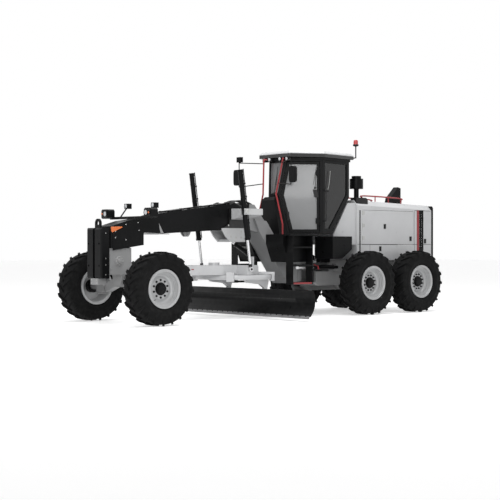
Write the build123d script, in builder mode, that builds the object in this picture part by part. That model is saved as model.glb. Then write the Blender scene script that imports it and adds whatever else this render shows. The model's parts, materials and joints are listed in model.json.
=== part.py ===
"""Articulated motor grader: a front frame that carries the cab, the drawbar and the blade,
hinged behind the cab to a rear frame that carries the engine and the tandem wheels.

Millimetres. +X points forward, +Y to the machine's left, +Z up. The origin is on the ground,
midway between the foremost and the rearmost face.
"""
from build123d import *
from math import atan2, cos, degrees, hypot, pi, radians, sin, tan
import os

# ---------------------------------------------------------------- driving sizes
wheelbase = 6280            # front axle to the middle of the tandems
tandem_spacing = 1543       # between the two axles of a tandem
front_overhang = 674        # front axle to the face of the push block
rear_overhang = 1976        # tandem middle to the rear face
track = 2156                # between the middles of the tyres

tyre_radius = 674           # over the lugs
tyre_width = 445
lug_height = 26
lug_count = 14              # on each side of the tread
lug_width = 104
rim_radius = 360            # over the rim's flange
rim_seat_radius = 318
rim_sides = 20
rim_flange_offset = 190     # from the wheel's middle to the flange's outer face
flange_width = 30
hub_face_inset = 145        # from the flange's face in to the disc
hub_radius = 105
bead_gap = 0.4

front_x = (wheelbase + rear_overhang - front_overhang) / 2
tandem_x = front_x - wheelbase
face_x = front_x + front_overhang
tail_x = tandem_x - rear_overhang
wheel_y = track / 2
axle_z = tyre_radius


def fwd(distance):
    """X of a point a distance ahead of the front axle (negative is behind it)."""
    return front_x + distance


# articulation
pivot_x = fwd(-4450)
pivot_pin_radius = 60
pin_clearance = 0.05
hitch_low_z = 690           # underside of the front frame's hinge boss
hitch_high_z = 1090         # top of it
hitch_plate = 45            # plates of the rear frame above and below the boss
hitch_gap = 6
hitch_boss_radius = 120

# front frame
neck_half = 170             # half width of the box beam
nose_half = 200
beam_half = 230             # half width where the beam drops behind the saddle
bolster_half = 175
bolster_low_z = 910
bolster_high_z = 1410
push_block_thick = 200
push_block_half = 240
push_block_low_z = 850
push_block_high_z = 1780
push_hole_radius = 20
push_hole_pitch_y = 340
push_hole_pitch_z = 405
push_hole_mid_z = 1288
push_hole_depth = 60

# front axle, wheel lean and steering
axle_pivot_z = 790          # the axle's own pin, along X
axle_pivot_radius = 45
axle_half_x = 80
axle_tongue_half_x = 50     # the axle's ends, between the ears that lean
lean_y = 600                # lean pins, along X
lean_z = 640
lean_pin_radius = 32
lean_eye_radius = 75
lean_ear_thick = 40
kingpin_y = 800             # kingpins, upright
kingpin_radius = 30
knuckle_radius = 72
knuckle_z = (575, 775)
fork_thick = 40             # arms that hold the kingpin above and below the knuckle
side_gap = 6                # between faces that slide past each other
steer_arm_x = fwd(-250)     # tie rod balls behind the kingpins
steer_arm_in = 30           # and inboard of them
steer_arm_z = 750
tie_rod_radius = 22

# drawbar, circle and blade
hitch_eye_x = fwd(-280)     # pin at the front of the drawbar, along Y
hitch_eye_z = 1000
hitch_eye_radius = 75
hitch_pin_radius = 38
hitch_eye_half = 60
circle_x = fwd(-2700)
circle_radius = 770
circle_inner = 640
circle_low_z = 780
circle_thick = 90
tooth_count = 36
tooth_height = 32
circle_gap = 8              # between the ring and what guides it
drawbar_thick = 180
drawbar_half_front = 110
drawbar_half_rear = 430
blade_length = 4270
blade_front_x = fwd(-2750)  # cutting edge
blade_low_z = 56
blade_high_z = 596
blade_lean_back = 100       # top edge behind the bottom edge
blade_hollow = 95           # depth of the curve
blade_thick = 28
tip_x = fwd(-3030)          # hinge of the blade carriage, along Y
tip_z = 330
tip_pin_radius = 30
arm_y = 560                 # circle arms
arm_thick = 60

# lift saddle and cylinders
saddle_x = fwd(-2340)
collar_z = 2120
collar_y = 760
collar_ball_y = 740
lift_top_z = 2940
lift_low_z = 1567
lift_ball_x = fwd(-2500)
lift_ball_z = 990
lift_barrel_radius = 50
lift_rod_radius = 27
shift_x = fwd(-2930)
shift_y_high = -520         # rod's eye on the saddle
shift_z_high = 1640
shift_y_low = 380           # barrel's eye on the drawbar
shift_z_low = 1190
shift_barrel_length = 640
shift_barrel_radius = 45
shift_rod_radius = 24
shift_eye_gap = 20          # the barrel's eye drifts beside its lug
gland_extra = 8             # collar at a barrel's mouth, over its radius

steer_lug_x = fwd(-4050)    # articulation cylinders, front and rear pins
steer_lug_y = 450
steer_foot_x = fwd(-5180)
steer_foot_y = 480
steer_cyl_z = 1000
steer_barrel_radius = 42
steer_barrel_length = 640
steer_rod_radius = 22
cylinder_pin_radius = 22
eye_radius = 44
eye_half = 30
barrel_sides = 18
neck_length = 82             # from a barrel's eye to its full width

# cab
cab_floor_z = 1700
cab_knee_z = 2510
cab_top_z = 3240
cab_wall = 50
cab_nose_floor_x = fwd(-3950)
cab_nose_knee_x = fwd(-3808)
cab_nose_top_x = fwd(-3906)
cab_knee_half = 159
cab_side_x = fwd(-4500)     # widest corner
cab_side_half = 757
cab_rear_x = fwd(-5430)
cab_rear_half = 620
header_thick = 50
header_over = 20
roof_thick = 135
roof_over = 55
roof_front_x = fwd(-3820)    # the visor reaches ahead of the screen
roof_front_half = 470
roof_rear_x = fwd(-5520)
door_gap = 8
glass_thick = 8
glass_inset = 20

# rear frame and hood
rear_half = 400             # half width over the frame's plates
rear_plate = 45
rear_frame_low_z = 610      # the blade passes below when it is turned along the machine
rear_rail_low_z = 880       # underside of the rails over the axle
bolted_gap = 0.4            # at the joints of the rear frame's three lengths
rear_frame_top_z = hitch_high_z + hitch_gap + hitch_plate
hood_front_x = fwd(-5640)
hood_half = 650
hood_low_z = rear_frame_top_z
hood_door_low_z = 1475
hood_top_z = 2440
hood_tail_top_z = 2370
hood_wall = 30
hood_edge = 110             # chamfer along the top
hood_rear_x = tandem_x - 1820
hood_door_front_x = fwd(-5800)
hood_door_rear_x = tandem_x - 1210
hood_door_high_z = 2230
hood_skirt_x = fwd(-4970)   # foot of the slanted panels behind the cab
hood_skirt_low_z = 1480
side_grille_x = (tandem_x - 1550, tandem_x - 1320)
side_grille_z = (1340, 2260)
platform_x = (fwd(-5200), fwd(-4620))
platform_y = (rear_half, 930)
platform_z = (1180, 1650)
engine_x = (tandem_x - 1070, fwd(-5950))
engine_half = 320
engine_top_z = 1980
tow_hole_radius = 20
tow_pin_x = tail_x + 40      # a pin dropped in here passes behind the rear grille
tow_ears_z = ((760, 800), (860, 900))
tandem_inner_y = 585
tandem_outer_y = 790
tandem_half_height = 205

os.makedirs("parts", exist_ok=True)
made = {}                   # every finished piece by its node's name


def keep(piece, name):
    """Label a finished piece and set it aside for export."""
    piece.part.label = name
    made[name] = piece.part


def block(x, y, z, mode=Mode.ADD):
    """A box between two values on each axis, given as pairs."""
    with Locations(((x[0] + x[1]) / 2, (y[0] + y[1]) / 2, (z[0] + z[1]) / 2)):
        Box(abs(x[1] - x[0]), abs(y[1] - y[0]), abs(z[1] - z[0]), mode=mode)


def prism(points, plane, length, mode=Mode.ADD):
    """A solid with a many-cornered outline on a plane, grown along its normal."""
    with BuildSketch(plane) as outline:
        with BuildLine():
            Polyline(*points, close=True)
        make_face()
    extrude(outline.sketch, amount=length, mode=mode)


def side_shape(points, y, mode=Mode.ADD):
    """A solid with an outline of (x, z) points, between two values of y."""
    prism(points, Plane.XZ.offset(-max(y)), max(y) - min(y), mode)


def plan_shape(points, z, mode=Mode.ADD):
    """A solid with an outline of (x, y) points, between two values of z."""
    prism(points, Plane.XY.offset(min(z)), max(z) - min(z), mode)


def end_shape(points, x, mode=Mode.ADD):
    """A solid with an outline of (y, z) points, between two values of x."""
    prism(points, Plane.YZ.offset(min(x)), max(x) - min(x), mode)


def rod(start, end, radius, mode=Mode.ADD, sides=0):
    """A round bar from one point to another, or one with that many flats."""
    axis = Vector(*end) - Vector(*start)
    with BuildSketch(Plane(origin=start, z_dir=axis)) as section:
        if sides:
            RegularPolygon(radius, sides)
        else:
            Circle(radius)
    extrude(section.sketch, amount=axis.length, mode=mode)


def bar(points, radius):
    """A thin eight-sided bar along straight runs, each a little longer than its points."""
    for start, end in zip(points, points[1:]):
        start, end = Vector(*start), Vector(*end)
        along = (end - start).normalized() * (radius / 2)
        with BuildSketch(Plane(origin=start - along, z_dir=along)) as section:
            RegularPolygon(radius, 8)
        extrude(section.sketch, amount=(end - start).length + radius)


def between(start, end, share):
    """The point at a share of the way from start to end."""
    return tuple(a + (b - a) * share for a, b in zip(start, end))


# ---------------------------------------------------------------- wheels
tread_radius = tyre_radius - lug_height
tread_half = tyre_width / 2 - 16
# radius of the carcass's corners and distance from the wheel's middle
carcass_sections = [
    (rim_seat_radius + bead_gap, 165),
    (500, tyre_width / 2),
    (610, tyre_width / 2 - 4),
    (tread_radius, tread_half),
]
lug_root = tread_radius * cos(pi / lug_count) - 8   # sunk below the middle of a flat
lug_inner = 14                  # from the middle line
lug_outer = tread_half - 4
# A lug's ends shift along the tread until its corners reach as far out as the next lug's middle.
lug_slant = tyre_radius * tan(pi / lug_count / 2) - lug_width / 2 - 1


def wheel_plane(x, side):
    """Plane across a wheel, with Z pointing away from the machine; side is 1 for left."""
    return Plane(origin=(x, side * wheel_y, axle_z), x_dir=(1, 0, 0), z_dir=(0, side, 0))


def placed(solid, plane, name):
    """The same solid set into a wheel's plane, kept under a name."""
    with BuildPart() as piece:
        add(plane.location * solid)
    keep(piece, name)


# The carcass has one flat for each lug pitch.
with BuildPart() as tyre:
    sections = [(radius, -depth) for radius, depth in carcass_sections]
    sections += [(radius, depth) for radius, depth in reversed(carcass_sections)]
    for radius, depth in sections:
        with BuildSketch(Plane.XY.offset(depth)):
            RegularPolygon(radius, lug_count)
    loft(ruled=True)
    with BuildSketch(Plane.XY.offset(-tyre_width)):
        RegularPolygon(rim_seat_radius + bead_gap, rim_sides)
    extrude(amount=2 * tyre_width, mode=Mode.SUBTRACT)
    for side in (1, -1):
        with BuildSketch(Plane.XY.offset(side * (rim_flange_offset - flange_width - bead_gap))):
            RegularPolygon(rim_radius + bead_gap, rim_sides)
        extrude(amount=side * tyre_width / 2, mode=Mode.SUBTRACT)
    for side, first_turn in ((1, 0), (-1, 180 / lug_count)):
        for index in range(lug_count):
            turn = first_turn + index * 360 / lug_count
            spoke = Vector(1, 0, 0).rotate(Axis.Z, turn)
            with BuildSketch(Plane(origin=spoke * tyre_radius, x_dir=(0, 0, side), z_dir=spoke)):
                with BuildLine():
                    Polyline(
                        (lug_inner, -lug_width / 2 - lug_slant),
                        (lug_outer, -lug_width / 2 + lug_slant),
                        (lug_outer, lug_width / 2 + lug_slant),
                        (lug_inner, lug_width / 2 - lug_slant),
                        close=True,
                    )
                make_face()
            extrude(amount=lug_root - tyre_radius)


# The rim is a barrel between two flanges, with the disc and hub set in from the outer face.
disc_z = rim_flange_offset - hub_face_inset
disc_thick = 26
barrel_inner = rim_seat_radius - 22
spindle_radius = 62
hub_length = 78             # stands out of the disc
with BuildPart() as rim:
    with BuildSketch(Plane.XY.offset(-rim_flange_offset)):
        RegularPolygon(rim_seat_radius, rim_sides)
    extrude(amount=2 * rim_flange_offset)
    for low in (-rim_flange_offset, rim_flange_offset - flange_width):
        with BuildSketch(Plane.XY.offset(low)):
            RegularPolygon(rim_radius, rim_sides)
        extrude(amount=flange_width)
    for radius, depth in ((rim_seat_radius - 6, rim_flange_offset), (barrel_inner, disc_z + 40)):
        with BuildSketch(Plane.XY.offset(depth)):
            RegularPolygon(radius, rim_sides)
    loft(ruled=True, mode=Mode.SUBTRACT)
    for low, high in ((disc_z, disc_z + 40), (-rim_flange_offset, disc_z - disc_thick)):
        with BuildSketch(Plane.XY.offset(low)):
            RegularPolygon(barrel_inner, rim_sides)
        extrude(amount=high - low, mode=Mode.SUBTRACT)
    with BuildSketch(Plane.XY.offset(disc_z - disc_thick - hub_length)):
        RegularPolygon(hub_radius + 25, 12)
    extrude(amount=hub_length)
    with BuildSketch(Plane.XY.offset(disc_z)):
        RegularPolygon(hub_radius, 12)
    extrude(amount=hub_length)
    with BuildSketch(Plane.XY.offset(disc_z - disc_thick - hub_length)):
        Circle(spindle_radius)
    extrude(amount=hub_length + disc_thick, mode=Mode.SUBTRACT)

rear_axle_x = (tandem_x + tandem_spacing / 2, tandem_x - tandem_spacing / 2)
wheel_places = [
    ("front", front_x),
    ("mid", rear_axle_x[0]),
    ("rear", rear_axle_x[1]),
]
for side, side_name in ((1, "left"), (-1, "right")):
    for axle_name, axle_x in wheel_places:
        plane = wheel_plane(axle_x, side)
        placed(tyre.part, plane, f"tyre_{axle_name}_{side_name}")
        placed(rim.part, plane, f"rim_{axle_name}_{side_name}")


# ---------------------------------------------------------------- rear frame
def hitch_ear(z):
    """A plate of the articulation hinge, from one side plate round the pin to the other."""
    plan_shape(
        [
            (pivot_x, -hitch_ear_radius),
            (pivot_x, hitch_ear_radius),
            (frame_front_x, rear_half),
            (frame_front_x - 300, rear_half),
            (frame_front_x - 300, -rear_half),
            (frame_front_x, -rear_half),
        ],
        z,
    )
    rod((pivot_x, 0, min(z)), (pivot_x, 0, max(z)), hitch_ear_radius)


hitch_ear_radius = hitch_boss_radius + 30
frame_front_x = pivot_x - 200
frame_step_x = (fwd(-5350), fwd(-5500))
notch_x = fwd(-5040)        # the plates are cut away above here for the articulation cylinders
notch_z = steer_cyl_z - 90
bumper_x = tail_x + 130
bumper_half = 560
ear_z = (
    (hitch_low_z - hitch_gap - hitch_plate, hitch_low_z - hitch_gap),
    (hitch_high_z + hitch_gap, rear_frame_top_z),
)
rail_outline = [
    (notch_x, rear_frame_top_z),
    (notch_x, notch_z),
    (frame_front_x, notch_z),
    (frame_front_x, ear_z[0][0]),
    (frame_front_x - 100, rear_frame_low_z),
    (frame_step_x[0], rear_frame_low_z),
    (frame_step_x[1], rear_rail_low_z),
    (bumper_x, rear_rail_low_z),
    (bumper_x, rear_frame_top_z),
]
with BuildPart() as rear_frame:
    for side in (1, -1):
        side_shape(rail_outline, (side * (rear_half - rear_plate), side * rear_half))
    for z in ear_z:
        hitch_ear(z)
    rod((pivot_x, 0, ear_z[0][0]), (pivot_x, 0, ear_z[1][1]), pivot_pin_radius)
    # belly plate under the front box and cross members along the rails
    block((frame_step_x[0], frame_front_x - 100), (-rear_half, rear_half), (rear_frame_low_z, rear_frame_low_z + 30))
    for side in (1, -1):
        for low in (steer_cyl_z - eye_half - side_gap - 40, steer_cyl_z + eye_half + side_gap):
            block(
                (steer_foot_x - 50, steer_foot_x + 50),
                (side * rear_half, side * (steer_foot_y + 50)),
                (low, low + 40),
            )
        rod(
            (steer_foot_x, side * steer_foot_y, steer_cyl_z - eye_half - side_gap - 40),
            (steer_foot_x, side * steer_foot_y, steer_cyl_z + eye_half + side_gap + 40),
            cylinder_pin_radius,
        )
    for x in (fwd(-5440), tandem_x, tandem_x - 1020, bumper_x + 60):
        block((x - 60, x + 60), (-rear_half, rear_half), (rear_rail_low_z + 20, rear_rail_low_z + 160))
    # rear bumper beam with the tow jaw
    end_shape(
        [
            (-bumper_half, rear_frame_top_z),
            (-bumper_half, rear_rail_low_z + 40),
            (-bumper_half + 160, rear_rail_low_z - 160),
            (bumper_half - 160, rear_rail_low_z - 160),
            (bumper_half, rear_rail_low_z + 40),
            (bumper_half, rear_frame_top_z),
        ],
        (bumper_x - 60, bumper_x),
    )
    for z in tow_ears_z:
        block((tail_x, bumper_x - 60), (-70, 70), z)
    # joints where the front box and the bumper are bolted to the rails
    for joint_x in (frame_step_x[1] - bolted_gap, bumper_x):
        block(
            (joint_x, joint_x + bolted_gap),
            (-bumper_half, bumper_half),
            (rear_frame_low_z, rear_frame_top_z),
            Mode.SUBTRACT,
        )
    rod(
        (tow_pin_x, 0, tow_ears_z[0][0]),
        (tow_pin_x, 0, tow_ears_z[1][1]),
        tow_hole_radius,
        Mode.SUBTRACT,
    )
keep(rear_frame, "rear_frame")

# ---------------------------------------------------------------- rear axle and tandem cases
axle_tube_radius = 165
with BuildPart() as tandem_axle:
    rod(
        (tandem_x, -tandem_inner_y, axle_z),
        (tandem_x, tandem_inner_y, axle_z),
        axle_tube_radius,
        sides=16,
    )
    block(
        (tandem_x - 150, tandem_x + 150),
        (-rear_half, rear_half),
        (axle_z, rear_rail_low_z),
    )
    for side in (1, -1):
        with BuildSketch(Plane.XZ.offset(-side * tandem_inner_y)):
            with Locations((tandem_x, axle_z)):
                SlotCenterToCenter(tandem_spacing, 2 * tandem_half_height)
        extrude(amount=-side * (tandem_outer_y - tandem_inner_y))
        for x in rear_axle_x:
            rod(
                (x, side * tandem_outer_y, axle_z),
                (x, side * (wheel_y + disc_z - 4), axle_z),
                spindle_radius - pin_clearance,
            )
keep(tandem_axle, "tandem_axle")

# ---------------------------------------------------------------- engine, hood and its openings
with BuildPart() as engine:
    end_shape(
        [
            (-engine_half, rear_frame_top_z),
            (engine_half, rear_frame_top_z),
            (engine_half, engine_top_z - 200),
            (engine_half - 140, engine_top_z),
            (-engine_half + 140, engine_top_z),
            (-engine_half, engine_top_z - 200),
        ],
        engine_x,
    )
keep(engine, "engine")


def hood_section(x, top, inset):
    """The hood's cross section at x, drawn in by an inset."""
    half = hood_half - inset
    with BuildSketch(Plane.YZ.offset(x)) as section:
        with BuildLine():
            Polyline(
                (-half, hood_low_z),
                (half, hood_low_z),
                (half, top - hood_edge - inset / 2),
                (half - hood_edge + inset / 2, top - inset),
                (-half + hood_edge - inset / 2, top - inset),
                (-half, top - hood_edge - inset / 2),
                close=True,
            )
        make_face()
    return section.sketch


skirt_half = hood_half - 45
door_z = (hood_door_low_z, hood_door_high_z)
door_x = (hood_door_rear_x, hood_door_front_x)
with BuildPart() as hood:
    loft([hood_section(hood_rear_x, hood_tail_top_z, 0), hood_section(hood_front_x, hood_top_z, 0)], ruled=True)
    inner_rear = hood_section(hood_rear_x, hood_tail_top_z, hood_wall)
    inner_front = hood_section(hood_front_x - hood_wall, hood_top_z, hood_wall)
    loft([inner_rear, inner_front], ruled=True, mode=Mode.SUBTRACT)
    for side in (1, -1):
        wall = (side * (hood_half - 2 * hood_wall), side * (hood_half + hood_wall))
        block(door_x, wall, door_z, Mode.SUBTRACT)
        block(side_grille_x, wall, side_grille_z, Mode.SUBTRACT)
        side_shape(
            [
                (hood_front_x, hood_top_z - 60),
                (hood_front_x + 240, hood_top_z - 75),
                (hood_skirt_x, platform_z[1] + 30),
                (hood_skirt_x, platform_z[1]),
                (platform_x[0] - 0.4, platform_z[1]),
                (platform_x[0] - 0.4, hood_skirt_low_z),
                (hood_front_x, hood_skirt_low_z),
            ],
            (side * (skirt_half - hood_wall), side * skirt_half),
        )
keep(hood, "hood")

leaf_gap = 6
for side, side_name in ((1, "left"), (-1, "right")):
    with BuildPart() as hood_door:
        block(
            (door_x[0] + leaf_gap, door_x[1] - leaf_gap),
            (side * (hood_half - hood_wall), side * hood_half),
            (door_z[0] + leaf_gap, door_z[1] - leaf_gap),
        )
    keep(hood_door, f"hood_door_{side_name}")

# ---------------------------------------------------------------- grilles and stacks
slat_thick = 14
rear_grille_x = (tail_x + 72, hood_rear_x)
rear_grille_half = hood_half - 12
rear_grille_z = (rear_frame_top_z + 30, hood_tail_top_z - 10)
with BuildPart() as grilles:
    block(rear_grille_x, (-rear_grille_half, rear_grille_half), rear_grille_z)
    edges_up = grilles.edges().filter_by(Axis.Y).group_by(Axis.X)[0]
    chamfer(edges_up, 40)
    window_half = rear_grille_half - 90
    window_z = (rear_grille_z[0] + 260, rear_grille_z[1] - 120)
    block((rear_grille_x[0] - 1, rear_grille_x[1] + 1), (-window_half, window_half), window_z, Mode.SUBTRACT)
    slat_count = 8
    for index in range(slat_count):
        z = window_z[0] + (index + 0.5) * (window_z[1] - window_z[0]) / slat_count
        block((rear_grille_x[0] + 30, rear_grille_x[1] - 30), (-window_half, window_half), (z, z + slat_thick))
    for side in (1, -1):
        face = (side * (hood_half - hood_wall), side * hood_half)
        block(side_grille_x, face, side_grille_z)
        slot_width = (side_grille_x[1] - side_grille_x[0]) / 7
        for index in range(3):
            x = side_grille_x[0] + slot_width * (2 * index + 1)
            block((x, x + slot_width), (face[0] * 0.9, face[1] * 1.1),
                  (side_grille_z[0] + 60, side_grille_z[1] - 60), Mode.SUBTRACT)
keep(grilles, "grilles")



def hood_top_at(x):
    """Height of the hood's sloping top at x."""
    share = (hood_front_x - x) / (hood_front_x - hood_rear_x)
    return hood_top_z + (hood_tail_top_z - hood_top_z) * share


stack_x = tandem_x - 1220
stack_foot_z = hood_top_at(stack_x)
cleaner_x = fwd(-5990)
cleaner_y = 300
with BuildPart() as stacks:
    side_shape(
        [
            (stack_x - 210, stack_foot_z + 390),
            (stack_x - 120, stack_foot_z + 415),
            (stack_x + 150, stack_foot_z + 160),
            (stack_x + 200, hood_top_at(stack_x + 200)),
            (stack_x - 210, hood_top_at(stack_x - 210)),
        ],
        (-70, 70),
    )
    cleaner_foot_z = hood_top_at(cleaner_x + 55)
    rod((cleaner_x, cleaner_y, cleaner_foot_z), (cleaner_x, cleaner_y, hood_top_z + 280), 55)
    rod((cleaner_x, cleaner_y, hood_top_z + 260), (cleaner_x, cleaner_y, hood_top_z + 480), 150)
    rod((cleaner_x, cleaner_y, hood_top_z + 480), (cleaner_x, cleaner_y, hood_top_z + 540), 105)
keep(stacks, "stacks")

# ---------------------------------------------------------------- platforms beside the rear frame
with BuildPart() as platforms:
    for side in (1, -1):
        side_shape(
            [
                (platform_x[1], platform_z[1]),
                (platform_x[1], platform_z[0]),
                (platform_x[0] + 300, platform_z[0]),
                (platform_x[0], platform_z[0] + 200),
                (platform_x[0], platform_z[1]),
            ],
            (side * platform_y[0], side * platform_y[1]),
        )
        block(
            (platform_x[1] - 320, platform_x[1] - 40),
            (side * rear_half, side * (rear_half + 130)),
            (ear_z[1][0] + 4, platform_z[0]),
        )
keep(platforms, "platforms")


# ---------------------------------------------------------------- front frame
neck_outline = [
    (fwd(-300), 1940),
    (fwd(-640), 2054),
    (fwd(-800), 2082),
    (fwd(-1650), 2189),
    (fwd(-2705), 2315),
    (fwd(-3120), 2290),
    (fwd(-3400), 1960),
    (fwd(-3600), 1690),
    (fwd(-3210), 1730),
    (fwd(-2900), 1795),
    (fwd(-2247), 1766),
    (fwd(-1280), 1712),
    (fwd(-786), 1685),
    (fwd(-300), 1704),
]
nose_outline = [
    (fwd(440), bolster_high_z),
    (fwd(440), 1810),
    (fwd(55), 1918),
    (fwd(-365), 1974),
    (fwd(-640), 2054),
    (fwd(-700), 1690),
    (fwd(-330), 1704),
    (fwd(26), 1435),
    (fwd(0), bolster_high_z),
]
beam_front_z = 1730
beam_top_z = cab_floor_z - 10
beam_tail_x = pivot_x + hitch_ear_radius + 35
cab_mount_x = fwd(-4750)    # rear end of the arm under the cab
beam_outline = [
    (fwd(-3080), 2000),
    (fwd(-3400), 1960),
    (fwd(-3600), beam_top_z),
    (cab_mount_x, beam_top_z),
    (cab_mount_x, beam_top_z - 120),
    (beam_tail_x, 1490),
    (beam_tail_x, 670),
    (fwd(-3990), 670),
    (fwd(-3210), beam_front_z),
]
with BuildPart() as main_frame:
    side_shape(neck_outline, (-neck_half, neck_half))
    side_shape(nose_outline, (-nose_half, nose_half))
    side_shape(beam_outline, (-beam_half, beam_half))
    block((pivot_x, beam_tail_x), (-95, 95), (hitch_low_z, hitch_high_z))
    rod((pivot_x, 0, hitch_low_z), (pivot_x, 0, hitch_high_z), hitch_boss_radius)
    rod(
        (pivot_x, 0, hitch_low_z),
        (pivot_x, 0, hitch_high_z),
        pivot_pin_radius + pin_clearance,
        Mode.SUBTRACT,
    )
    for side in (1, -1):
        block(
            (steer_lug_x - 50, steer_lug_x + 50),
            (side * beam_half, side * (steer_lug_y + 50)),
            (steer_cyl_z + eye_half + side_gap, steer_cyl_z + eye_half + side_gap + 36),
        )
keep(main_frame, "main_frame")

bolster_ear_x = axle_half_x + side_gap
with BuildPart() as bolster:
    side_shape(
        [
            (face_x - push_block_thick, bolster_low_z + 20),
            (face_x - push_block_thick, bolster_high_z),
            (fwd(-50), bolster_high_z),
            (fwd(-50), 1150),
            (fwd(-170), 1080),
            (fwd(-170), bolster_low_z),
            (fwd(300), bolster_low_z),
        ],
        (-bolster_half, bolster_half),
    )
    for side in (1, -1):
        near, far = fwd(side * bolster_ear_x), fwd(side * (bolster_ear_x + 70))
        end_shape(
            [
                (-bolster_half, bolster_low_z),
                (bolster_half, bolster_low_z),
                (90, axle_pivot_z - 80),
                (-90, axle_pivot_z - 80),
            ],
            (near, far),
        )
        block(
            (hitch_eye_x - 60, fwd(-170)),
            (side * (hitch_eye_half + side_gap), side * (hitch_eye_half + side_gap + 40)),
            (hitch_eye_z - 80, hitch_eye_z + 80),
        )
    rod(
        (fwd(-bolster_ear_x - 70), 0, axle_pivot_z),
        (fwd(bolster_ear_x + 70), 0, axle_pivot_z),
        axle_pivot_radius,
    )
    ear_out = hitch_eye_half + side_gap + 40
    rod((hitch_eye_x, -ear_out, hitch_eye_z), (hitch_eye_x, ear_out, hitch_eye_z), hitch_pin_radius)
keep(bolster, "bolster")

push_block_x = (face_x - push_block_thick, face_x)
loop_thick = 40
loop_radius = 85
loop_hole = 45
loop_z = push_block_high_z + 85
with BuildPart() as push_block:
    block(push_block_x, (-push_block_half, push_block_half), (push_block_low_z, push_block_high_z))
    chamfer(push_block.edges().filter_by(Axis.Z), 25)
    chamfer(push_block.edges().filter_by(Axis.Y).group_by(Axis.X)[-1], 30)
    block(
        (face_x - 40, face_x + 1),
        (-32, 32),
        (push_block_low_z - 1, push_block_high_z + 1),
        Mode.SUBTRACT,
    )
    with BuildSketch(Plane.YZ.offset(face_x)) as hole_faces:
        with Locations((0, push_hole_mid_z)):
            with GridLocations(push_hole_pitch_y, push_hole_pitch_z, 2, 2):
                Circle(push_hole_radius)
    extrude(hole_faces.sketch, amount=-push_hole_depth, mode=Mode.SUBTRACT)
    loop_mid_x = face_x - push_block_thick / 2
    with BuildSketch(Plane.YZ.offset(loop_mid_x - loop_thick / 2)) as loop_face:
        with Locations((0, loop_z)):
            Circle(loop_radius)
        with Locations((0, (loop_z + push_block_high_z) / 2)):
            Rectangle(2 * loop_radius, loop_z - push_block_high_z)
        with Locations((0, loop_z)):
            Circle(loop_hole, mode=Mode.SUBTRACT)
    extrude(loop_face.sketch, amount=loop_thick)
keep(push_block, "push_block")

# ---------------------------------------------------------------- front axle, lean and steering
def axle_eye(side, x):
    return (fwd(x), side * lean_y, lean_z)


with BuildPart() as front_axle:
    end_shape(
        [
            (-lean_y + 100, lean_z - 70),
            (-lean_y + 100, lean_z + 85),
            (-160, axle_pivot_z + 80),
            (160, axle_pivot_z + 80),
            (lean_y - 100, lean_z + 85),
            (lean_y - 100, lean_z - 70),
            (200, axle_pivot_z - 110),
            (-200, axle_pivot_z - 110),
        ],
        (fwd(-axle_half_x), fwd(axle_half_x)),
    )
    for side in (1, -1):
        block(
            (fwd(-axle_tongue_half_x), fwd(axle_tongue_half_x)),
            (side * (lean_y - 130), side * lean_y),
            (lean_z - 65, lean_z + 65),
        )
        rod(axle_eye(side, -axle_tongue_half_x), axle_eye(side, axle_tongue_half_x), lean_eye_radius)
        rod(
            axle_eye(side, -axle_tongue_half_x),
            axle_eye(side, axle_tongue_half_x),
            lean_pin_radius + pin_clearance,
            Mode.SUBTRACT,
        )
    rod(
        (fwd(-axle_half_x), 0, axle_pivot_z),
        (fwd(axle_half_x), 0, axle_pivot_z),
        axle_pivot_radius + pin_clearance,
        Mode.SUBTRACT,
    )
keep(front_axle, "front_axle")

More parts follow.
